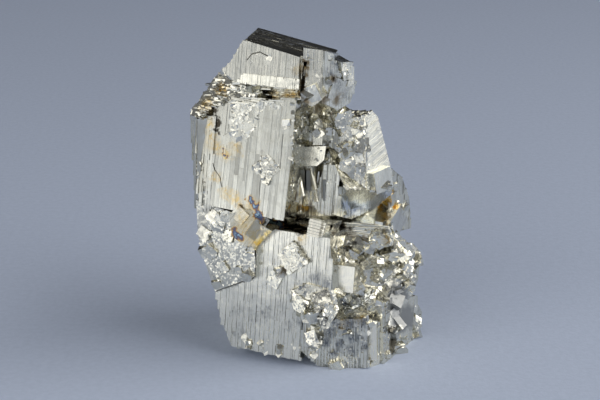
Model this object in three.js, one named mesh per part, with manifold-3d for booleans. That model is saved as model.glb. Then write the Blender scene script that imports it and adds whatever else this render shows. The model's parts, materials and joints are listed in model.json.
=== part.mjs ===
// Pyrite cluster: one mass of intergrown striated crystals standing on a flat base.
// Millimetres, +Z up, the widest lit faces towards -Y, origin under the middle of the bounding box.
import * as THREE from 'three';
import { mergeVertices } from 'three/addons/utils/BufferGeometryUtils.js';
import Module from 'manifold-3d';

// ---- driving dimensions -------------------------------------------------------------------
const HEIGHT = 69;            // nominal height of the cluster
const REACH = 120;            // half size of the boxes that trim it, larger than the cluster
const BASE_LEVEL = 0;         // height of the flat it rests on, in the layout below
const WELD = 0.05;            // edges shorter than this are merged away
const SHIFT = [-1.903, -8.352, 0];     // moves the layout so that its bounding box stands on the origin

// The larger crystals. Each one is a prism: a flat growth face with the outline given in the
// face's own plane, running back by `depth`. `yaw` turns the face about +Z (0 looks along -Y),
// `tilt` leans it up, `roll` turns the outline in its plane, `at` is the outline's zero point.
const BLOCKS = [
  { name: 'crown', yaw: -20, tilt: 10, roll: -1, at: [-6.52, -2.6, 64.54], depth: 23,
    outline: [[-8.16, 0.24], [-10.01, -1.8], [-6.72, -4.15], [7.07, -4.19], [6.42, 3.86], [-5.85, 4.76]] },
  { name: 'crown_band', yaw: -20, tilt: 14, roll: -1, at: [-6.52, -3.5, 61.41], depth: 8,
    outline: [[-6.95, -0.9], [6.83, -0.94], [6.6, 1.27], [-5.63, 1.28]] },
  { name: 'crown_cap', yaw: -9.5, tilt: 0, roll: 0, at: [-11.68, 1, 69.14], depth: 18,
    outline: [[0.62, -0.39], [-1.51, -4.25], [-3.01, -6.42], [-0.73, -8.87], [3.89, -9.96], [18.07, -9.79], [18.02, -0.58], [11.63, 0.84], [0.86, 2.12]] },
  { name: 'crown_mid', yaw: -8, tilt: 9, roll: 0, at: [2.03, -4, 63], depth: 17,
    outline: [[-1.94, -4.96], [0.56, -6.51], [2.58, -5], [2.32, 5.55], [-2.18, 5.81]] },
  { name: 'crown_right', yaw: 26, tilt: 3, roll: 0, at: [7.17, -1.2, 62.31], depth: 16,
    outline: [[-3.1, -5.5], [0.55, -7.39], [3.36, -6.24], [4.58, -3.21], [3.97, 2.29], [2.39, 4.53], [-3.3, 6.33]] },
  { name: 'main', yaw: -20, tilt: 7, roll: -4, at: [-7.26, -4.2, 38.55], depth: 24,
    outline: [[-11.64, -5.53], [-6.84, -5.53], [-2.77, -5.44], [-0.47, -5.88], [4.88, -5.76], [4.94, 9.34], [4.61, 19.94], [-13.2, 16.08]] },
  { name: 'left_facet', yaw: -33, tilt: 5, roll: -2, at: [-18.43, 0.5, 42.55], depth: 14,
    outline: [[-3.41, -6.57], [-1.53, -10.56], [1.23, -9.1], [-0.07, 10.71], [-4.59, 9.04]] },
  { name: 'left_edge', yaw: -75, tilt: 0, roll: 0, at: [-22.55, 6.3, 43.02], depth: 13,
    outline: [[-0.98, 0.83], [1.01, -11.55], [4.33, -9.82], [5.06, 9.26], [-3.46, 8.12]] },
  { name: 'shoulder', yaw: -30, tilt: 38, roll: 0, at: [-15.61, 3, 57.66], depth: 14,
    outline: [[-3.92, 2.5], [-4.76, -1.82], [-6.47, -5.79], [-4.16, -6.61], [-1.41, -3.44], [5.16, -1.36], [8.8, 1.21], [1.97, 2.59], [-2.56, 4.79]] },
  { name: 'neck', yaw: -20, tilt: 0, roll: 0, at: [-7.91, 3.4, 57.98], depth: 17,
    outline: [[-9.56, -6.05], [8.42, -4.39], [8.42, 4.97], [-7.16, 2.39]] },
  { name: 'left_rough', yaw: -27, tilt: 3, roll: 0, at: [-15.24, -1.6, 24.39], depth: 20,
    outline: [[-7.36, 2.16], [-5.58, -3.58], [-3.05, -9.89], [6.6, -5.11], [6.71, 1.51], [10.41, 5.8], [8.27, 6.56], [5.36, 10.02], [0.36, 8.41], [-7.92, 9.82]] },
  { name: 'left_crystal', yaw: -8, tilt: 8, roll: 0, at: [-10.44, -4.2, 31.53], depth: 9,
    outline: [[-3.78, -3.16], [-1.2, -5.17], [1.35, -5.27], [4.67, -1.49], [2.76, -0.94], [-0.04, 2.76], [-4.47, 1.5]] },
  { name: 'lower', yaw: -22, tilt: 4, roll: -2, at: [-4.24, -5.6, 10.07], depth: 27,
    outline: [[-6.25, 8.27], [-15.35, 3.52], [-13.63, -2.52], [-10.75, -7.91], [5.1, -8.26], [4.95, 1.36], [11.45, 8.72], [10.03, 19.79], [-3, 19.62], [-6.77, 17.47]] },
  { name: 'mid_rough', yaw: -10, tilt: 12, roll: 0, at: [2.92, -9.5, 15.03], depth: 12,
    outline: [[-2.19, -3.96], [3.73, -3.57], [5.12, -1.15], [4.09, 3.43], [-1.86, 4.32], [-5.18, 2.42]] },
  { name: 'recess', yaw: -14, tilt: 0, roll: -2, at: [2.55, 4.6, 40.2], depth: 9,
    outline: [[-5.24, -0.57], [-5.76, -11.92], [1.7, -10.14], [9.11, -9.27], [7.74, 1.95], [6.92, 10.85], [-4.72, 10.1]] },
  { name: 'strip_a', yaw: 34, tilt: 0, roll: 0, at: [0, 2, 37.46], depth: 6,
    outline: [[-2.29, -4.25], [0.51, -4.77], [1.02, 4.02], [-1.52, 4.23]] },
  { name: 'strip_b', yaw: -44, tilt: 0, roll: 0, at: [1.9, 2.4, 37.33], depth: 6,
    outline: [[-1.76, -4.86], [0.89, -4.25], [1.44, 4.72], [-1.76, 4.05]] },
  { name: 'small_cube', yaw: -18, tilt: 14, roll: 0, at: [3.75, 0.6, 48.39], depth: 7,
    outline: [[-0.97, -1.55], [0.98, -1.38], [0.95, 1.75], [-1.2, 1.36]] },
  { name: 'small_ledge', yaw: -18, tilt: 16, roll: -2, at: [2.94, 1.6, 44.19], depth: 7,
    outline: [[-2.57, -2.44], [0.91, -2], [2.28, -0.56], [2.34, 2.4], [-2.41, 1.61]] },
  { name: 'prism_a', yaw: -24, tilt: 3, roll: -3, at: [7.15, 0.2, 37.15], depth: 14,
    outline: [[-4.75, -3.96], [-2.76, -5.81], [2.74, -5.44], [0.83, 1.03], [1.82, 5.56], [-2.48, 5.25]] },
  { name: 'prism_b', yaw: 18, tilt: -6, roll: 0, at: [10.99, 1, 33.56], depth: 14,
    outline: [[-2.35, -2.53], [0.16, -3.27], [3.25, -1.97], [2.09, 3.24], [-3.34, 4.71]] },
  { name: 'right_rough', yaw: -10, tilt: 6, roll: 0, at: [10.84, -0.6, 45.06], depth: 7,
    outline: [[-2.48, -2.25], [-1.09, -7.3], [3.35, -7.27], [2.1, 8.11], [-2.49, 7.27]] },
  { name: 'right_cube', yaw: 48, tilt: 8, roll: 4, at: [15.93, 1.6, 45.5], depth: 14,
    outline: [[-4.6, -7.38], [3.12, -8.86], [4.08, -6.03], [2.11, 6.59], [0.5, 8.32], [-2.56, 7.86]] },
  { name: 'right_under', yaw: 25, tilt: -38, roll: 0, at: [15.23, 1.4, 34.55], depth: 12,
    outline: [[-2.43, -6.49], [1.07, -4.69], [3.86, 0.6], [3.03, 4.41], [-2.56, 4.2], [-7.83, 5.36]] },
  { name: 'right_back', yaw: 55, tilt: 0, roll: 0, at: [22.25, 12, 31.1], depth: 16,
    outline: [[-5.75, 0.4], [-2.25, -6.75], [4.06, -7.6], [2.93, -0.32], [-0.19, 5.3], [-4.79, 8.49]] },
  { name: 'cleft_floor', yaw: -15, tilt: -2, roll: 0, at: [9.55, 0.5, 27.7], depth: 20,
    outline: [[-4.17, -2.21], [2.4, -2.51], [10.21, -2.24], [9.3, 2.2], [3.26, 2.56], [-9.88, 0.48]] },
  { name: 'cleft_cube', yaw: -22, tilt: 14, roll: -6, at: [3.51, -8.8, 31.35], depth: 9,
    outline: [[-1.6, -1.01], [1.41, -1.37], [1.85, 1.91], [-1.67, 1.53]] },
  { name: 'druse_upper', yaw: 10, tilt: 5, roll: 0, at: [15.35, 0, 21.1], depth: 22,
    outline: [[-8.32, -6.11], [-2.7, -12.73], [5.67, -8.81], [9.2, -7.25], [8.76, 2.11], [5.7, 6.26], [-8.2, 5.33]] },
  { name: 'bright_plate', yaw: -16, tilt: 8, roll: -2, at: [9.69, -5, 19.35], depth: 8,
    outline: [[-2.11, -0.94], [-0.43, -2.88], [1.73, -2.59], [1.73, 2.83], [-2.18, 2.74]] },
  { name: 'foot_front', yaw: -6, tilt: -6, roll: -1, at: [7.4, -8, 5.35], depth: 24,
    outline: [[-7.43, -1.69], [-3.55, -5.33], [2.23, -5.92], [7.32, -4.85], [6.41, 6.86], [-6.84, 5.08]] },
  { name: 'foot_strip', yaw: 34, tilt: -2, roll: 0, at: [15.94, -6.2, 5.28], depth: 20,
    outline: [[-1.33, -5.99], [2.4, -6.21], [1.13, 4.38], [-2.62, 6.16]] },
  { name: 'foot_right', yaw: 62, tilt: 2, roll: 0, at: [22.94, 4, 4.99], depth: 22,
    outline: [[-10.94, -5.46], [-0.25, -8.39], [6.75, -7.21], [9.1, -0.17], [4.9, 4.84], [-2.85, 8.64], [-11.4, 8.85]] },
  { name: 'right_bulge', yaw: 60, tilt: 6, roll: 0, at: [24.46, 8, 17.47], depth: 18,
    outline: [[-8.59, -5.2], [-1.12, -6.78], [2.28, -4.19], [4.71, 1.53], [0.79, 4.79], [-5.54, 7.38]] },
  { name: 'core', yaw: 0, tilt: 0, roll: 0, at: [0, 9, 27.51], depth: 12,
    outline: [[-20.66, 22.48], [-20.45, -2.3], [-17.15, -15.09], [-13.36, -30.09], [0, -31.05], [21.36, -29.13], [20.09, -6.92], [15.51, 9.1], [7.66, 23.36], [0, 32.1], [-17.77, 30.36]] },
  { name: 'back_wide', yaw: 166, tilt: -4, roll: 3, at: [5, 24.5, 27], depth: 14,
    outline: [[-11, -15], [10.5, -16], [11.5, 4], [9, 15], [-6, 17], [-11.5, 12]] },
  { name: 'back_upper', yaw: 202, tilt: 8, roll: -4, at: [-9, 21.5, 47], depth: 12,
    outline: [[-7.5, -9], [7, -9.5], [7.5, 6], [4, 9.5], [-6, 9]] },
  { name: 'back_low', yaw: 192, tilt: -9, roll: -6, at: [-7, 23.5, 11], depth: 16,
    outline: [[-9, -13], [9, -14], [10, 6], [3, 11], [-8, 9.5]] },
  { name: 'back_foot', yaw: 142, tilt: 3, roll: 2, at: [17, 18.5, 11], depth: 14,
    outline: [[-8, -13], [7, -13], [7.5, 9], [1, 13], [-8, 10]] },
  { name: 'back_crown', yaw: 176, tilt: 12, roll: 0, at: [0, 17.5, 57], depth: 9,
    outline: [[-8.5, -7], [8, -7], [7, 3], [2, 6.5], [-7, 5]] },
  { name: 'back_right', yaw: 118, tilt: -6, roll: 5, at: [16, 15, 34], depth: 11,
    outline: [[-5, -12], [5.5, -12], [5.5, 4], [2, 9], [-5, 6.5]] },
  { name: 'left_side', yaw: -96, tilt: -3, roll: 2, at: [-20.4, 14.5, 38], depth: 10,
    outline: [[-6, -19], [6, -17], [6.5, 12], [1, 16], [-5, 13]] },
];

// Growth planes that end the crystals: everything on the far side of `normal` is removed above
// the given height.
const CUTS = [
  { name: 'top_face', at: [-11.65, 0.2, 69.31], normal: [0.2118, -0.0177, 0.9771], above: 0 },
  { name: 'crown_back', at: [-9.34, 14, 69.06], normal: [0.2773, 0.9608, 0], above: 55 },
];

// Narrow clefts between crystals, written like the crystals and taken away.
const SLOTS = [
  { name: 'cleft', yaw: -18, tilt: 8, roll: 0, at: [0, -10, 32.64], depth: 13,
    outline: [[-8.23, -0.84], [-2.99, -0.94], [2.17, -0.41], [6.45, -0.17], [12.35, 0.85], [12.68, 2.54], [6.36, 1.69], [-3.06, 0.74], [-6.56, 1.02], [-9.66, 1.97]] },
  { name: 'crown_gap', yaw: -20, tilt: 10, roll: 0, at: [-7.72, -5, 59.7], depth: 3.4,
    outline: [[-5.69, -0.07], [0.05, -0.81], [7.63, -0.97], [7.58, -0.17], [-0.01, 0.2], [-6.64, 1.08]] },
  { name: 'left_slot', yaw: -30, tilt: 0, roll: 0, at: [-17.07, -3, 52.41], depth: 6,
    outline: [[-0.3, -3.03], [0.44, -2.93], [0.78, 2.66], [-0.92, 3.28]] },
];

// Smaller crystals that sit on the larger ones: centre, lean and edge lengths; `bevel` cuts the
// corners of a cube towards an octahedron by that share of its half size.
const CRYSTALS = [
  { at: [-0.74, -4.46, 24], yaw: -22, tilt: 9, roll: 40, size: [4.9, 4.9, 5] },
  { at: [-4.53, -3.23, 18.7], yaw: -28, tilt: 8, roll: -24, size: [3, 3.2, 4] },
  { at: [3.54, -7.56, 6.58], yaw: -20, tilt: 14, roll: -16, size: [2.6, 2.6, 3] },
  { at: [-4.37, -4.82, 20.75], yaw: 20, tilt: 12, roll: 8, size: [1.8, 2, 2.5] },
  { at: [7.78, -6.79, -0.15], yaw: 8, tilt: 14, roll: 12, size: [3.4, 2.6, 3.2], bevel: 0.4 },
  { at: [4.48, -8.64, 15.77], yaw: -2, tilt: 24, roll: 22, size: [3.6, 3.4, 4] },
  { at: [0.82, -8.4, 14.8], yaw: -34, tilt: 14, roll: -18, size: [3.2, 3, 3.6], bevel: 0.5 },
  { at: [2.63, -9.28, 13.08], yaw: 6, tilt: -6, roll: 30, size: [3, 2.6, 3] },
  { at: [5.5, -9.78, 14.14], yaw: 24, tilt: 10, roll: -30, size: [2.4, 2.8, 3] },
  { at: [-6.42, -2.82, 42.95], yaw: -14, tilt: 12, roll: 45, size: [4.2, 4, 3] },
  { at: [-2.8, -3.4, 52.31], yaw: -12, tilt: 12, roll: 20, size: [1.6, 1.6, 2] },
  { at: [6.67, 1.3, 59.32], yaw: 30, tilt: -4, roll: -20, size: [4.4, 4.6, 6] },
  { at: [7.83, 1.35, 63.26], yaw: 46, tilt: 6, roll: 8, size: [3, 4.6, 5] },
  { at: [3.05, -3.29, 59.48], yaw: -20, tilt: -6, roll: 24, size: [3.2, 3.4, 4] },
  { at: [6.09, -1.69, 61.42], yaw: -8.4, tilt: -19.2, roll: 40.3, size: [1.3, 1.39, 2.03], bevel: 0.58 },
  { at: [8.37, -0.31, 62.87], yaw: 51.3, tilt: 5.9, roll: 43.3, size: [1.42, 1.35, 1.36] },
  { at: [7.88, -0.2, 62.26], yaw: -3.7, tilt: 1, roll: -20.1, size: [1.44, 1.84, 1.98] },
  { at: [-16.37, 5.74, 58.33], yaw: -49.9, tilt: 39.7, roll: -23.6, size: [1.69, 2.39, 2.47] },
  { at: [-15.56, 3.95, 56.46], yaw: -12.1, tilt: 54.9, roll: 22.8, size: [2.24, 2.17, 2.86] },
  { at: [-13.77, 3.12, 57.66], yaw: -20.8, tilt: 42, roll: 12.7, size: [1.37, 1.79, 1.97] },
  { at: [-9.66, 0.86, 57.86], yaw: -14.1, tilt: 38, roll: -3.1, size: [2.5, 2.71, 2.06] },
  { at: [-17.34, 2.95, 55.71], yaw: -25.7, tilt: 36.3, roll: -18.4, size: [1.68, 1.57, 1.71], bevel: 0.59 },
  { at: [-12.27, 2.36, 57.43], yaw: -42.3, tilt: 19.4, roll: 26, size: [1.92, 1.57, 2.07], bevel: 0.29 },
  { at: [-10.9, 1.68, 57.7], yaw: -18.4, tilt: 26.9, roll: -21, size: [2.36, 1.92, 2.14], bevel: 0.43 },
  { at: [-17.01, 3.8, 56.35], yaw: -49.9, tilt: 45.3, roll: 4.7, size: [1.5, 1.54, 1.82] },
  { at: [-10.67, -3.22, 19.79], yaw: -22, tilt: -16.9, roll: 36.9, size: [2.54, 2.31, 3.54], bevel: 0.78 },
  { at: [-15.34, -0.24, 31.82], yaw: -5.9, tilt: 4.5, roll: 21.3, size: [2.85, 2.54, 3.37], bevel: 0.64 },
  { at: [-18.98, 0.65, 23.48], yaw: -16.5, tilt: -4.2, roll: -38.3, size: [2.64, 2.63, 2.31] },
  { at: [-16.08, -0.99, 20.47], yaw: -16.3, tilt: 5.1, roll: 38.6, size: [1.65, 2.07, 2.31] },
  { at: [-16.66, 0.15, 29.22], yaw: -29.7, tilt: -16.9, roll: -7.3, size: [2.23, 1.78, 2.29] },
  { at: [-10.27, -3.69, 24.02], yaw: -19.7, tilt: 0, roll: -3.5, size: [1.73, 1.31, 1.54], bevel: 0.48 },
  { at: [-14.64, -1.41, 27.39], yaw: -26.7, tilt: 19.7, roll: -11.2, size: [2.22, 2.08, 1.97] },
  { at: [-11.97, -1.97, 26.15], yaw: -27.8, tilt: 4.4, roll: -3.2, size: [2.84, 2.25, 2.91] },
  { at: [-16.41, 0.61, 30.39], yaw: -20.5, tilt: 4, roll: -19.5, size: [2.65, 2.87, 3.49] },
  { at: [-12.96, -2.58, 20.43], yaw: -9.7, tilt: 1.7, roll: -29.1, size: [1.56, 1.59, 1.81], bevel: 0.66 },
  { at: [-17.64, -0.22, 16.48], yaw: -6, tilt: -15.3, roll: 21.9, size: [1.97, 1.97, 1.97], bevel: 0.37 },
  { at: [-18.09, 1.12, 30.98], yaw: -15.9, tilt: 20.4, roll: -36.4, size: [2.56, 2.49, 2.88] },
  { at: [-20.07, 1.71, 27.08], yaw: -22.3, tilt: 17.2, roll: -27.4, size: [2.71, 2.25, 2.37] },
  { at: [12.56, 0.12, 47.14], yaw: 8.4, tilt: 16.8, roll: -2.6, size: [3.16, 2.9, 2.98] },
  { at: [10.12, 1.35, 43.28], yaw: -6.4, tilt: 2.1, roll: 13.5, size: [3.27, 3.53, 4.4], bevel: 0.82 },
  { at: [8.78, 1.95, 52.02], yaw: 19.6, tilt: -1.8, roll: 20.4, size: [3.81, 4.14, 4.02] },
  { at: [12.66, -0.16, 49.66], yaw: -25.3, tilt: 13.7, roll: 14.9, size: [1.48, 1.98, 1.98] },
  { at: [9.91, -0.02, 46.17], yaw: 17.5, tilt: -8.8, roll: 24.2, size: [2.94, 2.83, 2.25], bevel: 0.28 },
  { at: [12.62, -0.51, 44.76], yaw: -28.9, tilt: -3.3, roll: -0.3, size: [2.2, 2.1, 1.93] },
  { at: [12.54, -0.52, 41.9], yaw: 10.1, tilt: -1.5, roll: -17.1, size: [2.05, 1.7, 2.18] },
  { at: [11.65, 0.36, 51.36], yaw: -39.7, tilt: 30.5, roll: 10.7, size: [1.46, 1.53, 1.76] },
  { at: [5.99, 3.49, 49.29], yaw: 3.5, tilt: -9.3, roll: -3.9, size: [1.34, 1.73, 1.57] },
  { at: [3.3, 0.8, 49.48], yaw: 3.8, tilt: 9.3, roll: 42.9, size: [1.54, 1.36, 1.29] },
  { at: [3.49, 4.77, 49.68], yaw: -33.3, tilt: -7.1, roll: -38.6, size: [3.13, 2.52, 2.45], bevel: 0.55 },
  { at: [3.4, 4.36, 49.92], yaw: 25.7, tilt: 19.7, roll: 7.6, size: [2, 1.62, 2.32] },
  { at: [2.74, 4.98, 50.96], yaw: -32.9, tilt: -20.2, roll: 7.3, size: [1.66, 2.04, 2.21] },
  { at: [16.63, -0.66, 18.86], yaw: 51.2, tilt: 33.3, roll: -41, size: [1.47, 1.66, 1.4], bevel: 0.7 },
  { at: [10.34, -0.05, 15.44], yaw: -1.6, tilt: -12.8, roll: 41, size: [4.98, 4.4, 3.86] },
  { at: [14.07, 0.1, 25.09], yaw: 19, tilt: -28.9, roll: 20.7, size: [2.27, 1.96, 2.32] },
  { at: [23.12, 1.15, 16.04], yaw: 26.4, tilt: -34.5, roll: 40.1, size: [1.61, 2.18, 2.25], bevel: 0.89 },
  { at: [20.01, 1.61, 16.84], yaw: -9.9, tilt: 18.6, roll: -32.1, size: [3.68, 3.48, 3.29], bevel: 0.55 },
  { at: [16.77, 1.12, 18.02], yaw: 38.2, tilt: -6.8, roll: 13.8, size: [3.92, 2.68, 3.07], bevel: 0.82 },
  { at: [11.73, -0.34, 24.74], yaw: -11.8, tilt: 44.4, roll: -13.9, size: [2.53, 2, 2.79] },
  { at: [16.63, -0.67, 27.27], yaw: 3.4, tilt: -24.2, roll: 43.8, size: [3.15, 3.48, 4.15] },
  { at: [19.51, 0.76, 21.18], yaw: 28.1, tilt: 3, roll: -19.9, size: [1.89, 1.78, 1.96] },
  { at: [14.51, -0.27, 14.84], yaw: 45.2, tilt: -9, roll: -13, size: [3.32, 2.53, 3.04] },
  { at: [8, -5.33, 16.83], yaw: 21.8, tilt: 47.1, roll: -13.1, size: [2.41, 2.63, 1.95] },
  { at: [15.81, 1.41, 22.32], yaw: 9.5, tilt: -29.9, roll: -40.1, size: [4.17, 4.01, 4.95] },
  { at: [17.39, 0.49, 21.3], yaw: 51.9, tilt: 19.6, roll: -31.9, size: [3.28, 2.25, 2.72] },
  { at: [16.05, 0.41, 18.32], yaw: -1.1, tilt: 40.5, roll: -31, size: [1.32, 1.74, 1.64], bevel: 0.3 },
  { at: [22.34, 1.04, 19.41], yaw: -14.8, tilt: 30.5, roll: 28.8, size: [1.47, 1.4, 1.72], bevel: 0.67 },
  { at: [11.47, 0.03, 24.95], yaw: 5.2, tilt: -30.3, roll: 4.6, size: [1.35, 1.67, 1.59] },
  { at: [9.65, -5.38, 18.39], yaw: -46.7, tilt: -16.1, roll: -37, size: [1.26, 1.45, 1.69], bevel: 0.37 },
  { at: [9.12, 0.67, 25.7], yaw: 5.4, tilt: -31.2, roll: -0.3, size: [2.78, 2.79, 3.58], bevel: 0.33 },
  { at: [8.18, -4.17, 18.92], yaw: -13.9, tilt: 31.5, roll: -12.4, size: [2.37, 2.39, 2.54] },
  { at: [16.51, 0.18, 12.68], yaw: -38.1, tilt: -28.2, roll: 38.2, size: [3.93, 3.51, 4.42] },
  { at: [11.48, -0.26, 17.93], yaw: 57.3, tilt: 16.1, roll: -8.7, size: [3.68, 3.94, 4.37], bevel: 0.78 },
  { at: [18.78, -0.44, 14.4], yaw: -40.8, tilt: 29.9, roll: -6, size: [1.96, 2.19, 1.87] },
  { at: [8.83, -0.63, 22.07], yaw: -17.5, tilt: 23.6, roll: 39.3, size: [2.11, 2.5, 1.91], bevel: 0.74 },
  { at: [19.92, 0.48, 12.29], yaw: 32.3, tilt: 36.9, roll: -42.8, size: [3.3, 4.24, 4.53] },
  { at: [9.98, -5.2, 18.04], yaw: 10.6, tilt: 31.6, roll: -22.3, size: [1.92, 1.9, 1.99] },
  { at: [11.03, -1.23, 11.74], yaw: 62.4, tilt: 8.6, roll: 29.7, size: [2.86, 2.24, 2.29] },
  { at: [15.15, -0.33, 22.76], yaw: -27.3, tilt: 22.2, roll: -11.1, size: [1.5, 1.38, 1.74], bevel: 0.48 },
  { at: [19.67, 1.8, 23.1], yaw: 61.2, tilt: 39.4, roll: -43.4, size: [4.35, 4.49, 4.97] },
  { at: [17.32, 0.22, 13.09], yaw: 14.9, tilt: -21.5, roll: -8.3, size: [2.95, 3.19, 4.26] },
  { at: [21.89, 1.09, 18.49], yaw: 29.9, tilt: 2.1, roll: 44.4, size: [2.32, 1.76, 1.83] },
  { at: [24.3, 9.16, 6.98], yaw: 55.5, tilt: 9.8, roll: 21.3, size: [2.36, 2.19, 2.57], bevel: 0.64 },
  { at: [22.77, 3.57, 2.65], yaw: 68, tilt: -1.4, roll: 37.8, size: [1.41, 1.4, 1.74] },
  { at: [18.9, -0.85, 8.16], yaw: 38.3, tilt: 13.1, roll: 14.4, size: [3.29, 4.28, 3.87], bevel: 0.66 },
  { at: [18.66, -3.73, 1.3], yaw: 72.6, tilt: 5.6, roll: 19.4, size: [1.51, 1.4, 1.66] },
  { at: [20.68, 0.61, 5.55], yaw: 39.4, tilt: -32.5, roll: -18.6, size: [1.86, 2.08, 2.15] },
  { at: [24.93, 8.63, 3.04], yaw: 57.7, tilt: 22.6, roll: 8.4, size: [2.74, 2.39, 2.6] },
  { at: [23.05, 5.06, 8.08], yaw: 49.3, tilt: -32.3, roll: 5.6, size: [2.22, 1.73, 2.19], bevel: 0.41 },
  { at: [25.83, 9.08, 0.81], yaw: 76.6, tilt: 28.2, roll: -30.9, size: [1.89, 2.06, 1.8] },
  { at: [23.46, 5.48, -1.05], yaw: 63.8, tilt: -1.6, roll: -5.1, size: [1.88, 1.75, 1.57], bevel: 0.75 },
  { at: [20.86, 0.93, 0.69], yaw: 17.9, tilt: -4.5, roll: -3.1, size: [3.27, 2.82, 2.78], bevel: 0.28 },
  { at: [7.39, -7.21, 3.58], yaw: 2.7, tilt: -2.2, roll: -2.2, size: [1.16, 1.71, 1.56], bevel: 0.73 },
  { at: [15.14, -5.16, 0.73], yaw: 41.5, tilt: 4.9, roll: -33.6, size: [2.3, 3.21, 3.32] },
  { at: [2.7, -7.14, 7.44], yaw: 16.8, tilt: -11.2, roll: 33.6, size: [1.95, 1.9, 1.92] },
  { at: [14.98, -7.01, 9.89], yaw: 15.4, tilt: -7.3, roll: 18.2, size: [1.44, 1.09, 1.16], bevel: 0.4 },
  { at: [2.78, -7.17, 2.7], yaw: 20.5, tilt: 16.1, roll: 38.9, size: [1.4, 1.39, 1.45] },
  { at: [10.21, -7.78, 7.33], yaw: 1.1, tilt: -6.6, roll: 20.3, size: [2.22, 2.44, 2.55] },
  { at: [3.01, -7.22, 9.25], yaw: 19.4, tilt: -27.4, roll: 0.9, size: [2.31, 2.22, 2.42], bevel: 0.69 },
  { at: [4.62, -10.15, 11.47], yaw: 18.9, tilt: 15.9, roll: 15.1, size: [1.78, 2.43, 2.3], bevel: 0.41 },
  { at: [8.93, -7.15, 8.52], yaw: 3.2, tilt: -12.2, roll: -14.7, size: [2.54, 2.5, 3.56] },
  { at: [0.6, -9.06, 13.21], yaw: 24.2, tilt: 8.2, roll: -8.1, size: [1.98, 1.78, 2.4] },
  { at: [4.27, -9.93, 15.2], yaw: -42.8, tilt: 27.7, roll: -3.6, size: [1.44, 1.6, 1.22] },
  { at: [-0.96, -7.83, 16.25], yaw: 18, tilt: 33.1, roll: -6.3, size: [2.04, 2.18, 2.13] },
  { at: [3.2, -9.88, 14.24], yaw: -45, tilt: 31.6, roll: -32.2, size: [1.15, 1.46, 1.33] },
  { at: [7.31, -10.12, 14.65], yaw: -40.6, tilt: 22.4, roll: 38.9, size: [1.06, 1.02, 1.18] },
  { at: [-10.88, -3.28, 3], yaw: -46.1, tilt: 28.3, roll: 17.5, size: [1.27, 1.21, 1.14] },
  { at: [-10.81, -3.06, 4.2], yaw: -51.7, tilt: -4.5, roll: -37, size: [1, 1.41, 1.49] },
  { at: [-4.22, -5.81, 3.55], yaw: -43.3, tilt: -2.1, roll: -21.7, size: [1.45, 1.89, 1.45] },
  { at: [-4.25, -5.82, 2.38], yaw: -38.7, tilt: 19.6, roll: -35.3, size: [1.43, 1.15, 1.41] },
  { at: [-8.2, -4.21, 4.29], yaw: -47.8, tilt: 25.5, roll: -27.1, size: [1.1, 1.14, 1.36], bevel: 0.48 },
  { at: [22.46, 14.03, 29.23], yaw: 48.9, tilt: -23.3, roll: 41.2, size: [1.9, 2.45, 2.92], bevel: 0.69 },
  { at: [22.89, 14.25, 27.23], yaw: 50.3, tilt: 9.4, roll: -5.4, size: [1.33, 1.85, 1.56], bevel: 0.56 },
  { at: [20.16, 10.12, 34.83], yaw: 88.7, tilt: 12.7, roll: 7.2, size: [1.96, 1.71, 2.07] },
  { at: [22.44, 1.59, 22.32], yaw: 38.1, tilt: 25.2, roll: -40.4, size: [1.56, 1.43, 1.84] },
  { at: [22, 1.37, 19.52], yaw: -21.7, tilt: -2.9, roll: 37.3, size: [1.48, 1.9, 1.76], bevel: 0.29 },
  { at: [23.3, 1.92, 16.86], yaw: 15.2, tilt: 10.4, roll: -7.9, size: [2.09, 1.83, 2.15] },
  { at: [21.48, 1.13, 14.2], yaw: 9.4, tilt: -11.5, roll: 16.7, size: [2.68, 2.97, 2.74] },
  { at: [23.16, 1.49, 19.11], yaw: 22.8, tilt: 24.2, roll: -19.2, size: [1.34, 1.43, 1.73] },
  { at: [25.41, 10.42, 17.45], yaw: 80, tilt: 19.9, roll: -33.9, size: [2.14, 2.12, 2.76] },
  { at: [-1, 23, 40], yaw: 150, tilt: 20, roll: 30, size: [6, 5.5, 6] },
  { at: [12, 21, 44], yaw: 120, tilt: -12, roll: 20, size: [5, 6, 6], bevel: 0.4 },
  { at: [-13, 20, 33], yaw: 215, tilt: 15, roll: -25, size: [6, 6, 5] },
  { at: [-14, 18, 22], yaw: 230, tilt: -8, roll: 15, size: [5, 5, 6], bevel: 0.5 },
  { at: [4, 25, 14], yaw: 170, tilt: 24, roll: 40, size: [5.5, 5, 5] },
  { at: [13, 22.5, 22], yaw: 135, tilt: 10, roll: -30, size: [4.5, 5, 5] },
  { at: [-3, 24.5, 24], yaw: 190, tilt: 30, roll: 12, size: [3.5, 3.5, 4] },
  { at: [9, 25, 33], yaw: 160, tilt: -20, roll: 36, size: [3.2, 3.6, 4], bevel: 0.6 },
  { at: [20, 16, 26], yaw: 100, tilt: 14, roll: 20, size: [4.5, 4.5, 5] },
  { at: [-19, 14, 24], yaw: -80, tilt: 10, roll: 25, size: [4, 4.5, 5], bevel: 0.4 },
  { at: [-20, 15, 50], yaw: -110, tilt: 22, roll: -20, size: [4, 4, 5] },
  { at: [-16, 17.5, 42], yaw: 220, tilt: -14, roll: 35, size: [4, 3.6, 5] },
  { at: [17, 11.5, 35], yaw: 85, tilt: -10, roll: 30, size: [3.6, 4, 5], bevel: 0.5 },
  { at: [3, 19, 50], yaw: 185, tilt: -10, roll: 22, size: [4, 4, 4] },
  { at: [-5, 22.5, 7], yaw: 200, tilt: 18, roll: 38, size: [4, 4, 4], bevel: 0.4 },
];

// ---- building blocks ----------------------------------------------------------------------
const RAD = Math.PI / 180;
const wasm = await Module();
wasm.setup();

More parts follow.
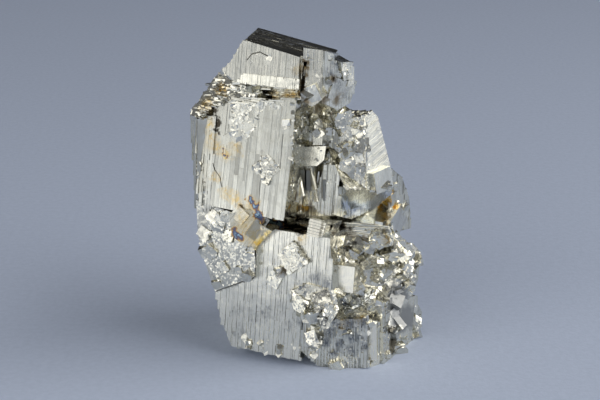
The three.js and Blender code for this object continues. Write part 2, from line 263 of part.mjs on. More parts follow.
function solid(geometry) {
  const g = geometry.clone();
  for (const key of Object.keys(g.attributes)) if (key !== 'position') g.deleteAttribute(key);
  const m = mergeVertices(g, 1e-5);
  return new wasm.Manifold(new wasm.Mesh({
    numProp: 3,
    vertProperties: new Float32Array(m.attributes.position.array),
    triVerts: new Uint32Array(m.index.array),
  }));
}

function pose(yaw, tilt, roll, at) {
  const a = yaw * RAD, b = tilt * RAD, c = roll * RAD;
  const n = new THREE.Vector3(Math.sin(a) * Math.cos(b), -Math.cos(a) * Math.cos(b), Math.sin(b));
  const u0 = new THREE.Vector3(Math.cos(a), Math.sin(a), 0);
  const v0 = new THREE.Vector3().crossVectors(n, u0);
  const u = u0.clone().multiplyScalar(Math.cos(c)).addScaledVector(v0, Math.sin(c));
  const v = v0.clone().multiplyScalar(Math.cos(c)).addScaledVector(u0, -Math.sin(c));
  const m = new THREE.Matrix4().makeBasis(u, v, n);
  m.setPosition(at[0], at[1], at[2]);
  return m;
}

function prism({ yaw, tilt, roll, at, depth, outline }) {
  const shape = new THREE.Shape(outline.map(([x, y]) => new THREE.Vector2(x, y)));
  const g = new THREE.ExtrudeGeometry(shape, { depth, bevelEnabled: false, steps: 1 });
  g.translate(0, 0, -depth);
  return solid(g.applyMatrix4(pose(yaw, tilt, roll, at)));
}

function crystal({ yaw, tilt, roll, at, size, bevel = 0 }) {
  const m = pose(yaw, tilt, roll, at);
  const cube = solid(new THREE.BoxGeometry(size[0], size[1], size[2]).applyMatrix4(m));
  if (!bevel) return cube;
  const r = 3 - bevel;
  const octa = new THREE.OctahedronGeometry(1, 0);
  octa.scale(r * size[0] / 2, r * size[1] / 2, r * size[2] / 2);
  return cube.intersect(solid(octa.applyMatrix4(m)));
}

// a box that fills the half space beyond a plane, cut off below a height
function beyond({ at, normal, above }) {
  const n = new THREE.Vector3(...normal).normalize();
  const g = new THREE.BoxGeometry(2 * REACH, 2 * REACH, 2 * REACH);
  g.translate(0, 0, REACH);
  g.applyQuaternion(new THREE.Quaternion().setFromUnitVectors(new THREE.Vector3(0, 0, 1), n));
  g.translate(at[0], at[1], at[2]);
  const half = solid(g);
  if (!above) return half;
  const keep = new THREE.BoxGeometry(4 * REACH, 4 * REACH, 2 * REACH);
  keep.translate(0, 0, above + REACH);
  return half.intersect(solid(keep));
}

// ---- assembly -----------------------------------------------------------------------------
let body = null;
for (const b of BLOCKS) body = body ? body.add(prism(b)) : prism(b);
for (const s of SLOTS) body = body.subtract(prism(s));
for (const c of CUTS) body = body.subtract(beyond(c));
for (const c of CRYSTALS) body = body.add(crystal(c));

// the flat it rests on
const under = new THREE.BoxGeometry(2 * REACH, 2 * REACH, 2 * REACH);
under.translate(0, 0, BASE_LEVEL - REACH);
body = body.subtract(solid(under));

// the largest connected piece, without hairline edges
body = body.simplify(WELD).decompose().sort((p, q) => q.volume() - p.volume())[0];

const mesh = body.getMesh();
const geometry = new THREE.BufferGeometry();
const points = new Float32Array((mesh.vertProperties.length / mesh.numProp) * 3);
for (let i = 0; i < points.length / 3; i++) {
  points[3 * i] = mesh.vertProperties[mesh.numProp * i] + SHIFT[0];
  points[3 * i + 1] = mesh.vertProperties[mesh.numProp * i + 1] + SHIFT[1];
  points[3 * i + 2] = mesh.vertProperties[mesh.numProp * i + 2] + SHIFT[2];
}
geometry.setAttribute('position', new THREE.BufferAttribute(points, 3));
geometry.setIndex(new THREE.BufferAttribute(new Uint32Array(mesh.triVerts), 1));
geometry.computeVertexNormals();

const pyrite = new THREE.Mesh(geometry, new THREE.MeshStandardMaterial({
  color: 0xcac6b4, roughness: 0.3, metalness: 0.9,
}));
pyrite.name = 'pyrite_cluster';

const group = new THREE.Group();
group.name = 'pyrite';
group.add(pyrite);
export default group;
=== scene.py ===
import json
import math

import bmesh
import bpy
import numpy as np
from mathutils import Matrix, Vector
from mathutils.bvhtree import BVHTree

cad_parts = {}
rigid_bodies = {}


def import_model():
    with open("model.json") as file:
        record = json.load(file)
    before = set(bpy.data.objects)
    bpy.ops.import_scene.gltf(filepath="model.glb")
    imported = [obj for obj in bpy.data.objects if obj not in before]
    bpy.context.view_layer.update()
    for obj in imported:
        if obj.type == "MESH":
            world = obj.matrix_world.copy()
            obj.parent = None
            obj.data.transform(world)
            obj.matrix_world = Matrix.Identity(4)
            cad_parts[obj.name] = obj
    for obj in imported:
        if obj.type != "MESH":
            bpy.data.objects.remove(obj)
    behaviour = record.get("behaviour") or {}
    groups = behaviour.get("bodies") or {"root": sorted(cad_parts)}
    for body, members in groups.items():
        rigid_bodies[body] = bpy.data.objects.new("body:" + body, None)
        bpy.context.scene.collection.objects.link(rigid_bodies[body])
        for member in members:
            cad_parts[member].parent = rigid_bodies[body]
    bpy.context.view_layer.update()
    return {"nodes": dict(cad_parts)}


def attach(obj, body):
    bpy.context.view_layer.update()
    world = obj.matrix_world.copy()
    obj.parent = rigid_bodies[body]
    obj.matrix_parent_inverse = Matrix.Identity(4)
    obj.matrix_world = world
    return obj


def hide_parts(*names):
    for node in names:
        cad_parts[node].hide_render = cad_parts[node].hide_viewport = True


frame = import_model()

MM = 0.001
NODE = "pyrite_cluster"

# ---------------------------------------------------------------- camera of the picture
ELEV, LENS, SENSOR, DIST = math.radians(18.0), 100.0, 36.0, 351.0
AIM = np.array((-1.903, -8.352, 35))                      # mm
PXF = LENS / SENSOR * 600.0
D_V = np.array([0.0, math.cos(ELEV), -math.sin(ELEV)])
UP_V = np.array([0.0, math.sin(ELEV), math.cos(ELEV)])
RT_V = np.array([1.0, 0.0, 0.0])
EYE = AIM - D_V * DIST


def ray(px, py):
    r = D_V + (px - 300.0) / PXF * RT_V - (py - 200.0) / PXF * UP_V
    return r / np.linalg.norm(r)


def project(p):
    q = np.asarray(p, float) - EYE
    z = q @ D_V
    return 300.0 + PXF * (q @ RT_V) / z, 200.0 - PXF * (q @ UP_V) / z


# ---------------------------------------------------------------- growth faces of the larger crystals
# yaw, tilt, roll of the face in degrees, its zero point and its outline in its own plane, mm
FACES = {
    "crown": {"yaw": -20, "tilt": 10, "roll": -1, "at": (-8.419, -10.952, 64.536),
        "uv": [(-8.16, 0.24), (-10.01, -1.8), (-6.72, -4.15), (7.07, -4.19), (6.42, 3.86), (-5.85, 4.76)]},
    "crown_band": {"yaw": -20, "tilt": 14, "roll": -1, "at": (-8.421, -11.852, 61.411),
        "uv": [(-6.95, -0.9), (6.83, -0.94), (6.6, 1.27), (-5.63, 1.28)]},
    "crown_mid": {"yaw": -8, "tilt": 9, "roll": 0, "at": (0.128, -12.352, 62.997),
        "uv": [(-1.94, -4.96), (0.56, -6.51), (2.58, -5), (2.32, 5.55), (-2.18, 5.81)]},
    "crown_right": {"yaw": 26, "tilt": 3, "roll": 0, "at": (5.267, -9.552, 62.314),
        "uv": [(-3.1, -5.5), (0.55, -7.39), (3.36, -6.24), (4.58, -3.21), (3.97, 2.29), (2.39, 4.53), (-3.3, 6.33)]},
    "main": {"yaw": -20, "tilt": 7, "roll": -4, "at": (-9.167, -12.552, 38.547),
        "uv": [(-11.64, -5.53), (-6.84, -5.53), (-2.77, -5.44), (-0.47, -5.88), (4.88, -5.76), (4.94, 9.34), (4.61, 19.94), (-13.2, 16.08)]},
    "left_facet": {"yaw": -33, "tilt": 5, "roll": -2, "at": (-20.337, -7.852, 42.547),
        "uv": [(-3.41, -6.57), (-1.53, -10.56), (1.23, -9.1), (-0.07, 10.71), (-4.59, 9.04)]},
    "left_edge": {"yaw": -75, "tilt": 0, "roll": 0, "at": (-24.45, -2.052, 43.017),
        "uv": [(-0.98, 0.83), (1.01, -11.55), (4.33, -9.82), (5.06, 9.26), (-3.46, 8.12)]},
    "shoulder": {"yaw": -30, "tilt": 38, "roll": 0, "at": (-17.511, -5.352, 57.657),
        "uv": [(-3.92, 2.5), (-4.76, -1.82), (-6.47, -5.79), (-4.16, -6.61), (-1.41, -3.44), (5.16, -1.36), (8.8, 1.21), (1.97, 2.59), (-2.56, 4.79)]},
    "left_rough": {"yaw": -27, "tilt": 3, "roll": 0, "at": (-17.142, -9.952, 24.393),
        "uv": [(-7.36, 2.16), (-5.58, -3.58), (-3.05, -9.89), (6.6, -5.11), (6.71, 1.51), (10.41, 5.8), (8.27, 6.56), (5.36, 10.02), (0.36, 8.41), (-7.92, 9.82)]},
    "left_crystal": {"yaw": -8, "tilt": 8, "roll": 0, "at": (-12.345, -12.552, 31.534),
        "uv": [(-3.78, -3.16), (-1.2, -5.17), (1.35, -5.27), (4.67, -1.49), (2.76, -0.94), (-0.04, 2.76), (-4.47, 1.5)]},
    "lower": {"yaw": -22, "tilt": 4, "roll": -2, "at": (-6.143, -13.952, 10.067),
        "uv": [(-6.25, 8.27), (-15.35, 3.52), (-13.63, -2.52), (-10.75, -7.91), (5.1, -8.26), (4.95, 1.36), (11.45, 8.72), (10.03, 19.79), (-3, 19.62), (-6.77, 17.47)]},
    "mid_rough": {"yaw": -10, "tilt": 12, "roll": 0, "at": (1.021, -17.852, 15.026),
        "uv": [(-2.19, -3.96), (3.73, -3.57), (5.12, -1.15), (4.09, 3.43), (-1.86, 4.32), (-5.18, 2.42)]},
    "recess": {"yaw": -14, "tilt": 0, "roll": -2, "at": (0.644, -3.752, 40.201),
        "uv": [(-5.24, -0.57), (-5.76, -11.92), (1.7, -10.14), (9.11, -9.27), (7.74, 1.95), (6.92, 10.85), (-4.72, 10.1)]},
    "strip_a": {"yaw": 34, "tilt": 0, "roll": 0, "at": (-1.903, -6.352, 37.46),
        "uv": [(-2.29, -4.25), (0.51, -4.77), (1.02, 4.02), (-1.52, 4.23)]},
    "strip_b": {"yaw": -44, "tilt": 0, "roll": 0, "at": (0.001, -5.952, 37.334),
        "uv": [(-1.76, -4.86), (0.89, -4.25), (1.44, 4.72), (-1.76, 4.05)]},
    "small_cube": {"yaw": -18, "tilt": 14, "roll": 0, "at": (1.849, -7.752, 48.394),
        "uv": [(-0.97, -1.55), (0.98, -1.38), (0.95, 1.75), (-1.2, 1.36)]},
    "small_ledge": {"yaw": -18, "tilt": 16, "roll": -2, "at": (1.034, -6.752, 44.187),
        "uv": [(-2.57, -2.44), (0.91, -2), (2.28, -0.56), (2.34, 2.4), (-2.41, 1.61)]},
    "prism_a": {"yaw": -24, "tilt": 3, "roll": -3, "at": (5.248, -8.152, 37.146),
        "uv": [(-4.75, -3.96), (-2.76, -5.81), (2.74, -5.44), (0.83, 1.03), (1.82, 5.56), (-2.48, 5.25)]},
    "prism_b": {"yaw": 18, "tilt": -6, "roll": 0, "at": (9.092, -7.352, 33.564),
        "uv": [(-2.35, -2.53), (0.16, -3.27), (3.25, -1.97), (2.09, 3.24), (-3.34, 4.71)]},
    "right_rough": {"yaw": -10, "tilt": 6, "roll": 0, "at": (8.933, -8.952, 45.055),
        "uv": [(-2.48, -2.25), (-1.09, -7.3), (3.35, -7.27), (2.1, 8.11), (-2.49, 7.27)]},
    "right_cube": {"yaw": 48, "tilt": 8, "roll": 4, "at": (14.024, -6.752, 45.497),
        "uv": [(-4.6, -7.38), (3.12, -8.86), (4.08, -6.03), (2.11, 6.59), (0.5, 8.32), (-2.56, 7.86)]},
    "right_under": {"yaw": 25, "tilt": -38, "roll": 0, "at": (13.323, -6.952, 34.545),
        "uv": [(-2.43, -6.49), (1.07, -4.69), (3.86, 0.6), (3.03, 4.41), (-2.56, 4.2), (-7.83, 5.36)]},
    "right_back": {"yaw": 55, "tilt": 0, "roll": 0, "at": (20.35, 3.648, 31.101),
        "uv": [(-5.75, 0.4), (-2.25, -6.75), (4.06, -7.6), (2.93, -0.32), (-0.19, 5.3), (-4.79, 8.49)]},
    "cleft_floor": {"yaw": -15, "tilt": -2, "roll": 0, "at": (7.648, -7.852, 27.697),
        "uv": [(-4.17, -2.21), (2.4, -2.51), (10.21, -2.24), (9.3, 2.2), (3.26, 2.56), (-9.88, 0.48)]},
    "cleft_cube": {"yaw": -22, "tilt": 14, "roll": -6, "at": (1.603, -17.152, 31.353),
        "uv": [(-1.6, -1.01), (1.41, -1.37), (1.85, 1.91), (-1.67, 1.53)]},
    "druse_upper": {"yaw": 10, "tilt": 5, "roll": 0, "at": (13.445, -8.352, 21.103),
        "uv": [(-8.32, -6.11), (-2.7, -12.73), (5.67, -8.81), (9.2, -7.25), (8.76, 2.11), (5.7, 6.26), (-8.2, 5.33)]},
    "bright_plate": {"yaw": -16, "tilt": 8, "roll": -2, "at": (7.787, -13.352, 19.349),
        "uv": [(-2.11, -0.94), (-0.43, -2.88), (1.73, -2.59), (1.73, 2.83), (-2.18, 2.74)]},
    "foot_front": {"yaw": -6, "tilt": -6, "roll": -1, "at": (5.5, -16.352, 5.349),
        "uv": [(-7.43, -1.69), (-3.55, -5.33), (2.23, -5.92), (7.32, -4.85), (6.41, 6.86), (-6.84, 5.08)]},
    "foot_strip": {"yaw": 34, "tilt": -2, "roll": 0, "at": (14.04, -14.552, 5.276),
        "uv": [(-1.33, -5.99), (2.4, -6.21), (1.13, 4.38), (-2.62, 6.16)]},
    "foot_right": {"yaw": 62, "tilt": 2, "roll": 0, "at": (21.033, -4.352, 4.99),
        "uv": [(-10.94, -5.46), (-0.25, -8.39), (6.75, -7.21), (9.1, -0.17), (4.9, 4.84), (-2.85, 8.64), (-11.4, 8.85)]},
    "right_bulge": {"yaw": 60, "tilt": 6, "roll": 0, "at": (22.559, -0.352, 17.473),
        "uv": [(-8.59, -5.2), (-1.12, -6.78), (2.28, -4.19), (4.71, 1.53), (0.79, 4.79), (-5.54, 7.38)]},
    "back_wide": {"yaw": 166, "tilt": -4, "roll": 3, "at": (3.097, 16.148, 27),
        "uv": [(-11, -15), (10.5, -16), (11.5, 4), (9, 15), (-6, 17), (-11.5, 12)]},
    "back_upper": {"yaw": 202, "tilt": 8, "roll": -4, "at": (-10.903, 13.148, 47),
        "uv": [(-7.5, -9), (7, -9.5), (7.5, 6), (4, 9.5), (-6, 9)]},
    "back_low": {"yaw": 192, "tilt": -9, "roll": -6, "at": (-8.903, 15.148, 11),
        "uv": [(-9, -13), (9, -14), (10, 6), (3, 11), (-8, 9.5)]},
    "back_foot": {"yaw": 142, "tilt": 3, "roll": 2, "at": (15.097, 10.148, 11),
        "uv": [(-8, -13), (7, -13), (7.5, 9), (1, 13), (-8, 10)]},
    "back_crown": {"yaw": 176, "tilt": 12, "roll": 0, "at": (-1.903, 9.148, 57),
        "uv": [(-8.5, -7), (8, -7), (7, 3), (2, 6.5), (-7, 5)]},
    "back_right": {"yaw": 118, "tilt": -6, "roll": 5, "at": (14.097, 6.648, 34),
        "uv": [(-5, -12), (5.5, -12), (5.5, 4), (2, 9), (-5, 6.5)]},
    "left_side": {"yaw": -96, "tilt": -3, "roll": 2, "at": (-22.303, 6.148, 38),
        "uv": [(-6, -19), (6, -17), (6.5, 12), (1, 16), (-5, 13)]},
    "crown_top": {"yaw": 85.2134, "tilt": 77.7274, "roll": 0, "at": (-13.551, -8.152, 69.313),
        "uv": [(1.89, -11.8), (6.68, -16.52), (9.59, -18.46), (12.35, -1.57), (0.81, -0.32)]},
}


def basis(yaw, tilt, roll=0.0):
    a, b, c = math.radians(yaw), math.radians(tilt), math.radians(roll)
    n = np.array([math.sin(a) * math.cos(b), -math.cos(a) * math.cos(b), math.sin(b)])
    u = np.array([math.cos(a), math.sin(a), 0.0])
    v = np.cross(n, u)
    return math.cos(c) * u + math.sin(c) * v, -math.sin(c) * u + math.cos(c) * v, n


def inside(poly, x, y):
    c, j = False, len(poly) - 1
    for i in range(len(poly)):
        xi, yi = poly[i]
        xj, yj = poly[j]
        if (yi > y) != (yj > y) and x < (xj - xi) * (y - yi) / (yj - yi) + xi:
            c = not c
        j = i
    return c


# ---------------------------------------------------------------- the solid the surface detail grows on
cad = frame["nodes"][NODE]
cm = cad.data
co = np.empty(len(cm.vertices) * 3)
cm.vertices.foreach_get("co", co)
co = co.reshape(-1, 3)
mw = np.array(cad.matrix_world)
co = (co @ mw[:3, :3].T + mw[:3, 3]) / MM
cm.calc_loop_triangles()
tri = np.empty(len(cm.loop_triangles) * 3, int)
cm.loop_triangles.foreach_get("vertices", tri)
tri = tri.reshape(-1, 3)
key, first, inv = np.unique(np.round(co, 4), axis=0, return_index=True, return_inverse=True)
inv = inv.reshape(-1)
BV = co[first]
BT = inv[tri]
BT = BT[(BT[:, 0] != BT[:, 1]) & (BT[:, 1] != BT[:, 2]) & (BT[:, 2] != BT[:, 0])]
BVH = BVHTree.FromPolygons([Vector(p) for p in BV], [tuple(int(i) for i in t) for t in BT])
e1 = BV[BT[:, 1]] - BV[BT[:, 0]]
e2 = BV[BT[:, 2]] - BV[BT[:, 0]]
BN = np.cross(e1, e2)
BA = np.linalg.norm(BN, axis=1) / 2
BN = BN / np.maximum(2 * BA[:, None], 1e-12)
BC = BV[BT].mean(1)


def hit(px, py):
    p, n, i, _ = BVH.ray_cast(Vector(EYE), Vector(ray(px, py)), 2000.0)
    return None if p is None else (np.array(p), np.array(n), i)


# ---------------------------------------------------------------- shapes that are joined to it
STRIATED = {}
CRUMPLED = ("left_rough", "mid_rough", "right_rough", "druse_upper", "foot_right", "right_bulge", "shoulder", "core")
PARTS = []   # (vertices, faces, across-striation direction, kind, random, shade tone: painted lighter below 0, painted darker above 0)
CUTS = []


# shade tone below 0 paints a piece lighter, above 0 darker: painted light and shade in place of how bright its
# reflection reads
def add(v, f, su, kind, rnd, shade_tone=0.0, cut=False):
    v = np.asarray(v, float)
    o = v.mean(0)
    vol = sum(np.dot(v[q[0]] - o, np.cross(v[q[k]] - o, v[q[k + 1]] - o)) for q in f for k in range(1, len(q) - 1))
    if vol < 0:
        f = [tuple(reversed(q)) for q in f]
    (CUTS if cut else PARTS).append((v, f, np.asarray(su, float), float(kind), float(rnd), float(shade_tone)))


def hull_template(points):
    bm = bmesh.new()
    for p in points:
        bm.verts.new(p)
    r = bmesh.ops.convex_hull(bm, input=bm.verts)
    drop = list({e for e in r["geom_interior"] + r["geom_unused"] if isinstance(e, bmesh.types.BMVert)})
    if drop:
        bmesh.ops.delete(bm, geom=drop, context="VERTS")
    bmesh.ops.dissolve_limit(bm, angle_limit=0.001, verts=bm.verts, edges=bm.edges)
    bmesh.ops.recalc_face_normals(bm, faces=bm.faces)
    bm.verts.index_update()
    v = np.array([p.co[:] for p in bm.verts])
    f = [tuple(x.index for x in q.verts) for q in bm.faces]
    bm.free()
    return v, f


CUBE = hull_template([(x, y, z) for x in (-.5, .5) for y in (-.5, .5) for z in (-.5, .5)])


def cut_cube(c):
    pts = []
    for x in (-.5, .5):
        for y in (-.5, .5):
            for z in (-.5, .5):
                for k in range(3):
                    p = [x, y, z]
                    p[k] *= 1 - 2 * c
                    pts.append(p)
    return hull_template(pts)


def pyritohedron():
    h = 0.5
    g = 0.5
    pts = [(x, y, z) for x in (-1, 1) for y in (-1, 1) for z in (-1, 1)]
    for a in (-1, 1):
        for b in (-1, 1):
            pts += [(0, a * (1 + h), b * (1 - h * h)), (a * (1 + h), b * (1 - h * h), 0), (a * (1 - h * h), 0, b * (1 + h))]
    v, f = hull_template(pts)
    return v / 3.0, f


def chipped(seed):
    r = np.random.default_rng(seed)
    v = CUBE[0].copy()
    k = r.integers(0, 8)
    pts = []
    for i, p in enumerate(v):
        if i == k:
            for ax in range(3):
                q = p.copy()
                q[ax] *= 1 - 2 * r.uniform(.25, .7)
                pts.append(q)
        else:
            pts.append(p)
    return hull_template(pts)


def edge_cut(seed):
    r = np.random.default_rng(seed)
    a, b = r.uniform(.12, .4, 2)
    pts = [(-.5, -.5), (.5, -.5), (.5, .5 - a), (.5 - b, .5), (-.5, .5)]
    return hull_template([(x, z, y) for x, z in pts for y in (-.5, .5)])


SHAPES = [CUBE, CUBE, edge_cut(1), edge_cut(2), edge_cut(3), chipped(4), chipped(5), chipped(6), cut_cube(.14), cut_cube(.28), pyritohedron()]


def turn(m, axis, angle):
    axis = axis / np.linalg.norm(axis)
    k = np.array([[0, -axis[2], axis[1]], [axis[2], 0, -axis[0]], [-axis[1], axis[0], 0]])
    return (np.eye(3) + math.sin(angle) * k + (1 - math.cos(angle)) * (k @ k)) @ m


def frame_at(n, i, p):
    """basis of the growth face that holds this point of the solid, or one made from the normal"""
    for name, fc in FACES.items():
        u, v, m = fc["basis"]
        if n @ m > 0.9995 and abs((p - fc["at"]) @ m) < 0.06:
            return u, v, m, name
    a = np.array([0, 0, 1.0]) if abs(n[2]) < 0.85 else np.array([0, -1.0, 0])
    u = np.cross(a, n)
    u /= np.linalg.norm(u)
    return u, np.cross(n, u), n, None


for name, fc in FACES.items():
    fc["at"] = np.array(fc["at"], float)
    fc["basis"] = basis(fc["yaw"], fc["tilt"], fc["roll"])


def crystal(p, n, m, size, out, shape, rnd, kind=1.0, shade_tone=0.0):
    """a small crystal with axes m (columns), its outermost reach `out` mm beyond the point p along n"""
    v, f = shape
    w = (v * size) @ m.T
    w = w + p + n * (out - (w @ n).max())
    add(w, f, m[:, 0], kind, rnd, shade_tone)


CLEAR = []   # outlines that stay free of grains


def druse(seed, poly, count, smin, smax, spread, out, flat=(0.7, 1.1), shapes=SHAPES, kind=1.0, power=2.0, gap=0.0, follow=1.0, shade_tone=0.0, lean=0.0):
    """seeded small crystals over the part of the solid that this outline of the picture frame covers"""
    r = np.random.default_rng(seed)
    xs, ys = [p[0] for p in poly], [p[1] for p in poly]
    put, tries = [], 0
    while len(put) < count and tries < count * 30:
        tries += 1
        x, y = r.uniform(min(xs), max(xs)), r.uniform(min(ys), max(ys))
        s = smin + (smax - smin) * r.random() ** power
        a = [r.normal(0, 1) for _ in range(3)]
        ang = math.radians(spread) * abs(r.normal(0, 0.6))
        spin = math.radians(r.uniform(-45, 45)) * follow
        o, fl, rnd, sh = r.uniform(*out), r.uniform(*flat), r.random(), int(r.integers(0, len(shapes)))
        sx, sy = r.uniform(.75, 1.35, 2)
        if not inside(poly, x, y) or any(inside(z, x, y) for z in CLEAR):
            continue
        if gap and any((x - q[0]) ** 2 + (y - q[1]) ** 2 < (gap * (s + q[2]) * 2.4) ** 2 for q in put):
            continue
        h = hit(x, y)
        if h is None:
            continue
        p, n, i = h
        u, v, m, _ = frame_at(n, i, p)
        M = np.column_stack([u, v, m])
        M = turn(turn(turn(M, m, spin), np.array(a), ang), u, -math.radians(lean))
        put.append((x, y, s))
        crystal(p, n, M, np.array([s * sx, s * sy, s * fl]), o * s, shapes[sh], rnd, kind, shade_tone)


def spans(poly, s):
    """where the line across = s runs inside the outline"""
    t, j = [], len(poly) - 1
    for i in range(len(poly)):
        (xi, yi), (xj, yj) = poly[i], poly[j]
        if (xi > s) != (xj > s):
            t.append(yi + (s - xi) * (yj - yi) / (xj - xi))
        j = i
    t.sort()
    return [(t[k], t[k + 1]) for k in range(0, len(t) - 1, 2)]


def smooth_noise(r, n=6):
    k = r.normal(0, 1, (n, 4))
    return lambda s, t: sum(math.sin(a[0] * .9 * s + a[1] * .45 * t + a[2] * 9) * a[3] for a in k) / n


def striate(name, seed, theta=0.0, width=(0.22, 0.9), length=(2.0, 9.0), rise=(0.03, 0.05), cover=0.82, bevel=(0.03, 0.12), slope=1.2, edge=0.12, skip=(), kind=0.0, terrace=0.06, along=0.4, outline=None, lineate=.55, gap=(.03, .09), pitch=0.0, shade_tone=0.0, ground_shade=.7, endgap=(.35, .02, .14), ragged=2.5, tonevar=0.0):
    """growth striations of one face: long low prisms side by side, broken into lengths"""
    fc = FACES[name]
    # the ground shade paints the face under the striations darker: painted shade of the grooves between the prisms
    STRIATED[name] = ground_shade
    fc["theta"] = theta
    u, v, n = fc["basis"]
    c, s_ = math.cos(math.radians(theta)), math.sin(math.radians(theta))
    us, vt = c * u + s_ * v, -s_ * u + c * v
    src = fc["uv"] if outline is None else outline
    poly = [(x * c + y * s_, -x * s_ + y * c) for x, y in src]
    r = np.random.default_rng(seed)
    f = smooth_noise(r)
    s, s1 = min(p[0] for p in poly) + edge, max(p[0] for p in poly) - edge
    while s < s1:
        w = width[0] + (width[1] - width[0]) * r.random() ** 1.7
        sc = s + w / 2
        for ta, tb in spans(poly, sc):
            t = ta + edge * (.3 + ragged * r.random() ** 5)
            tb -= edge * (.3 + ragged * r.random() ** 5)
            while t < tb - 0.3:
                ln = length[0] + (length[1] - length[0]) * r.random() ** 1.5
                te = min(t + ln, tb)
                keep, hh, sl, st, b0, b1, rnd = r.random() < cover, r.normal(0, 1), r.normal(0, slope), r.normal(0, along), r.uniform(*bevel), r.uniform(*bevel), r.random()
                h = rise[0] + terrace * f(sc, (t + te) / 2) + rise[1] * hh
                if keep and h > 0.012:
                    mid = fc["at"] + sc * us + (t + te) / 2 * vt
                    q = project(mid)
                    if not any(inside(z, *q) for z in skip):
                        a = w / 2 * 0.98
                        k = math.tan(math.radians(sl))
                        b0, b1 = min(b0, w * .3), min(b1, w * .3)
                        sec = [(-a, -.35), (a, -.35), (a, h - b1 * .6 + a * k), (a - b1, h + (a - b1) * k), (-a + b0, h - (a - b0) * k), (-a, h - b0 * .6 - a * k)]
                        sec = [(x, max(y, -.3) if i > 1 else y) for i, (x, y) in enumerate(sec)]
                        e = (te - t) / 2 * (math.tan(math.radians(st)) * .25 - math.tan(math.radians(pitch)))
                        lift = (te - t) / 2 * math.tan(math.radians(abs(pitch)))
                        pts = [mid - us * 0 + x * us + sgn * (te - t) / 2 * vt + (y + (sgn * e + lift if i > 1 else 0)) * n for sgn in (-1, 1) for i, (x, y) in enumerate(sec)]
                        fa = [tuple(range(5, -1, -1)), tuple(range(6, 12))] + [(i, (i + 1) % 6, (i + 1) % 6 + 6, i + 6) for i in range(6)]
                        add(pts, fa, us, kind, rnd, shade_tone - tonevar * rnd ** 3)
                t = te + (r.uniform(endgap[1], endgap[2]) if r.random() < endgap[0] else 0.0)
        s += w * r.uniform(.94, 1.0) if r.random() > lineate else w + r.uniform(*gap)


def plates(seed, poly, count, length, width, thick, yaw, tilt, spread, out, kind=1.0, shade_tone=0.0):
    """thin stacked plates lying along one direction, over an outline of the picture frame"""
    r = np.random.default_rng(seed)
    xs, ys = [p[0] for p in poly], [p[1] for p in poly]
    done, tries = 0, 0
    while done < count and tries < count * 30:
        tries += 1
        x, y = r.uniform(min(xs), max(xs)), r.uniform(min(ys), max(ys))
        q = r.uniform(0, 1, 6)
        a = r.normal(0, 1, 3)
        if not inside(poly, x, y):
            continue
        h = hit(x, y)
        if h is None:
            continue
        u, v, m = basis(yaw + spread * (q[0] - .5), tilt + spread * (q[1] - .5), spread * .6 * (q[2] - .5))
        M = turn(np.column_stack([u, v, m]), a, math.radians(spread * .15))
        size = np.array([length[0] + (length[1] - length[0]) * q[3] ** 1.5, thick[0] + (thick[1] - thick[0]) * q[4], width[0] + (width[1] - width[0]) * q[5]])
        crystal(h[0], h[1], M, size, r.uniform(*out), CUBE, r.random(), kind, shade_tone)
        done += 1


def cover_rest(seed, count, smin, smax, spread, out, patchy=.1):
    """grains over the surfaces that the picture doesn't show"""
    r = np.random.default_rng(seed)
    f = smooth_noise(r, 7)
    g = smooth_noise(r, 7)
    pick = np.where((BC[:, 2] > .8) & (BC[:, 2] < 64) & (BN[:, 2] > -.75) & (BA > .02))[0]
    cum = np.cumsum(BA[pick])
    done, tries = 0, 0
    while done < count and tries < count * 25:
        tries += 1
        i = pick[min(np.searchsorted(cum, r.random() * cum[-1]), len(pick) - 1)]
        a, b = r.random(2)
        if a + b > 1:
            a, b = 1 - a, 1 - b
        p = BV[BT[i, 0]] + a * (BV[BT[i, 1]] - BV[BT[i, 0]]) + b * (BV[BT[i, 2]] - BV[BT[i, 0]])
        s = smin + (smax - smin) * r.random() ** 2
        q, ang, spin, o, fl, sh, rnd = r.normal(0, 1, 3), abs(r.normal(0, .6)), r.uniform(-45, 45), r.uniform(*out), r.uniform(.6, 1.1), int(r.integers(0, len(SHAPES))), r.random()
        if f(p[0] * .35 + 2 * p[1] * .2, p[2] * .5) + g(p[1] * .4, p[2] * .4) * .7 < patchy:
            continue
        d = p - EYE
        t = np.linalg.norm(d)
        c, _, _, dist = BVH.ray_cast(Vector(EYE), Vector(d / t), 2000.0)
        if c is not None and dist > t - .4:
            continue
        n = BN[i]
        u, v, m, _ = frame_at(n, i, p)
        M = turn(turn(np.column_stack([u, v, m]), m, math.radians(spin)), q, math.radians(spread) * ang)
        crystal(p, n, M, np.array([s, s * r.uniform(.8, 1.25), s * fl]), o * s, SHAPES[sh], rnd)
        done += 1


BALL = hull_template([(.5 * math.cos(a) * math.cos(b), .5 * math.sin(a) * math.cos(b), .5 * math.sin(b)) for a in np.linspace(0, 2 * math.pi, 9)[:-1] for b in (-1.45, -.7, 0, .7, 1.45)])


def pit(px, py, size, spin, depth, shade_tone=.7):
    """a hollow in the surface, its walls painted darker as painted shade"""
    p, n, i = hit(px, py)
    u, v, m, _ = frame_at(n, i, p)
    M = turn(np.column_stack([u, v, m]), m, math.radians(spin))
    w = (BALL[0] * np.array(size)) @ M.T
    add(w + p + n * (-depth - (w @ n).min()), BALL[1], u, 1.0, .5, shade_tone, True)


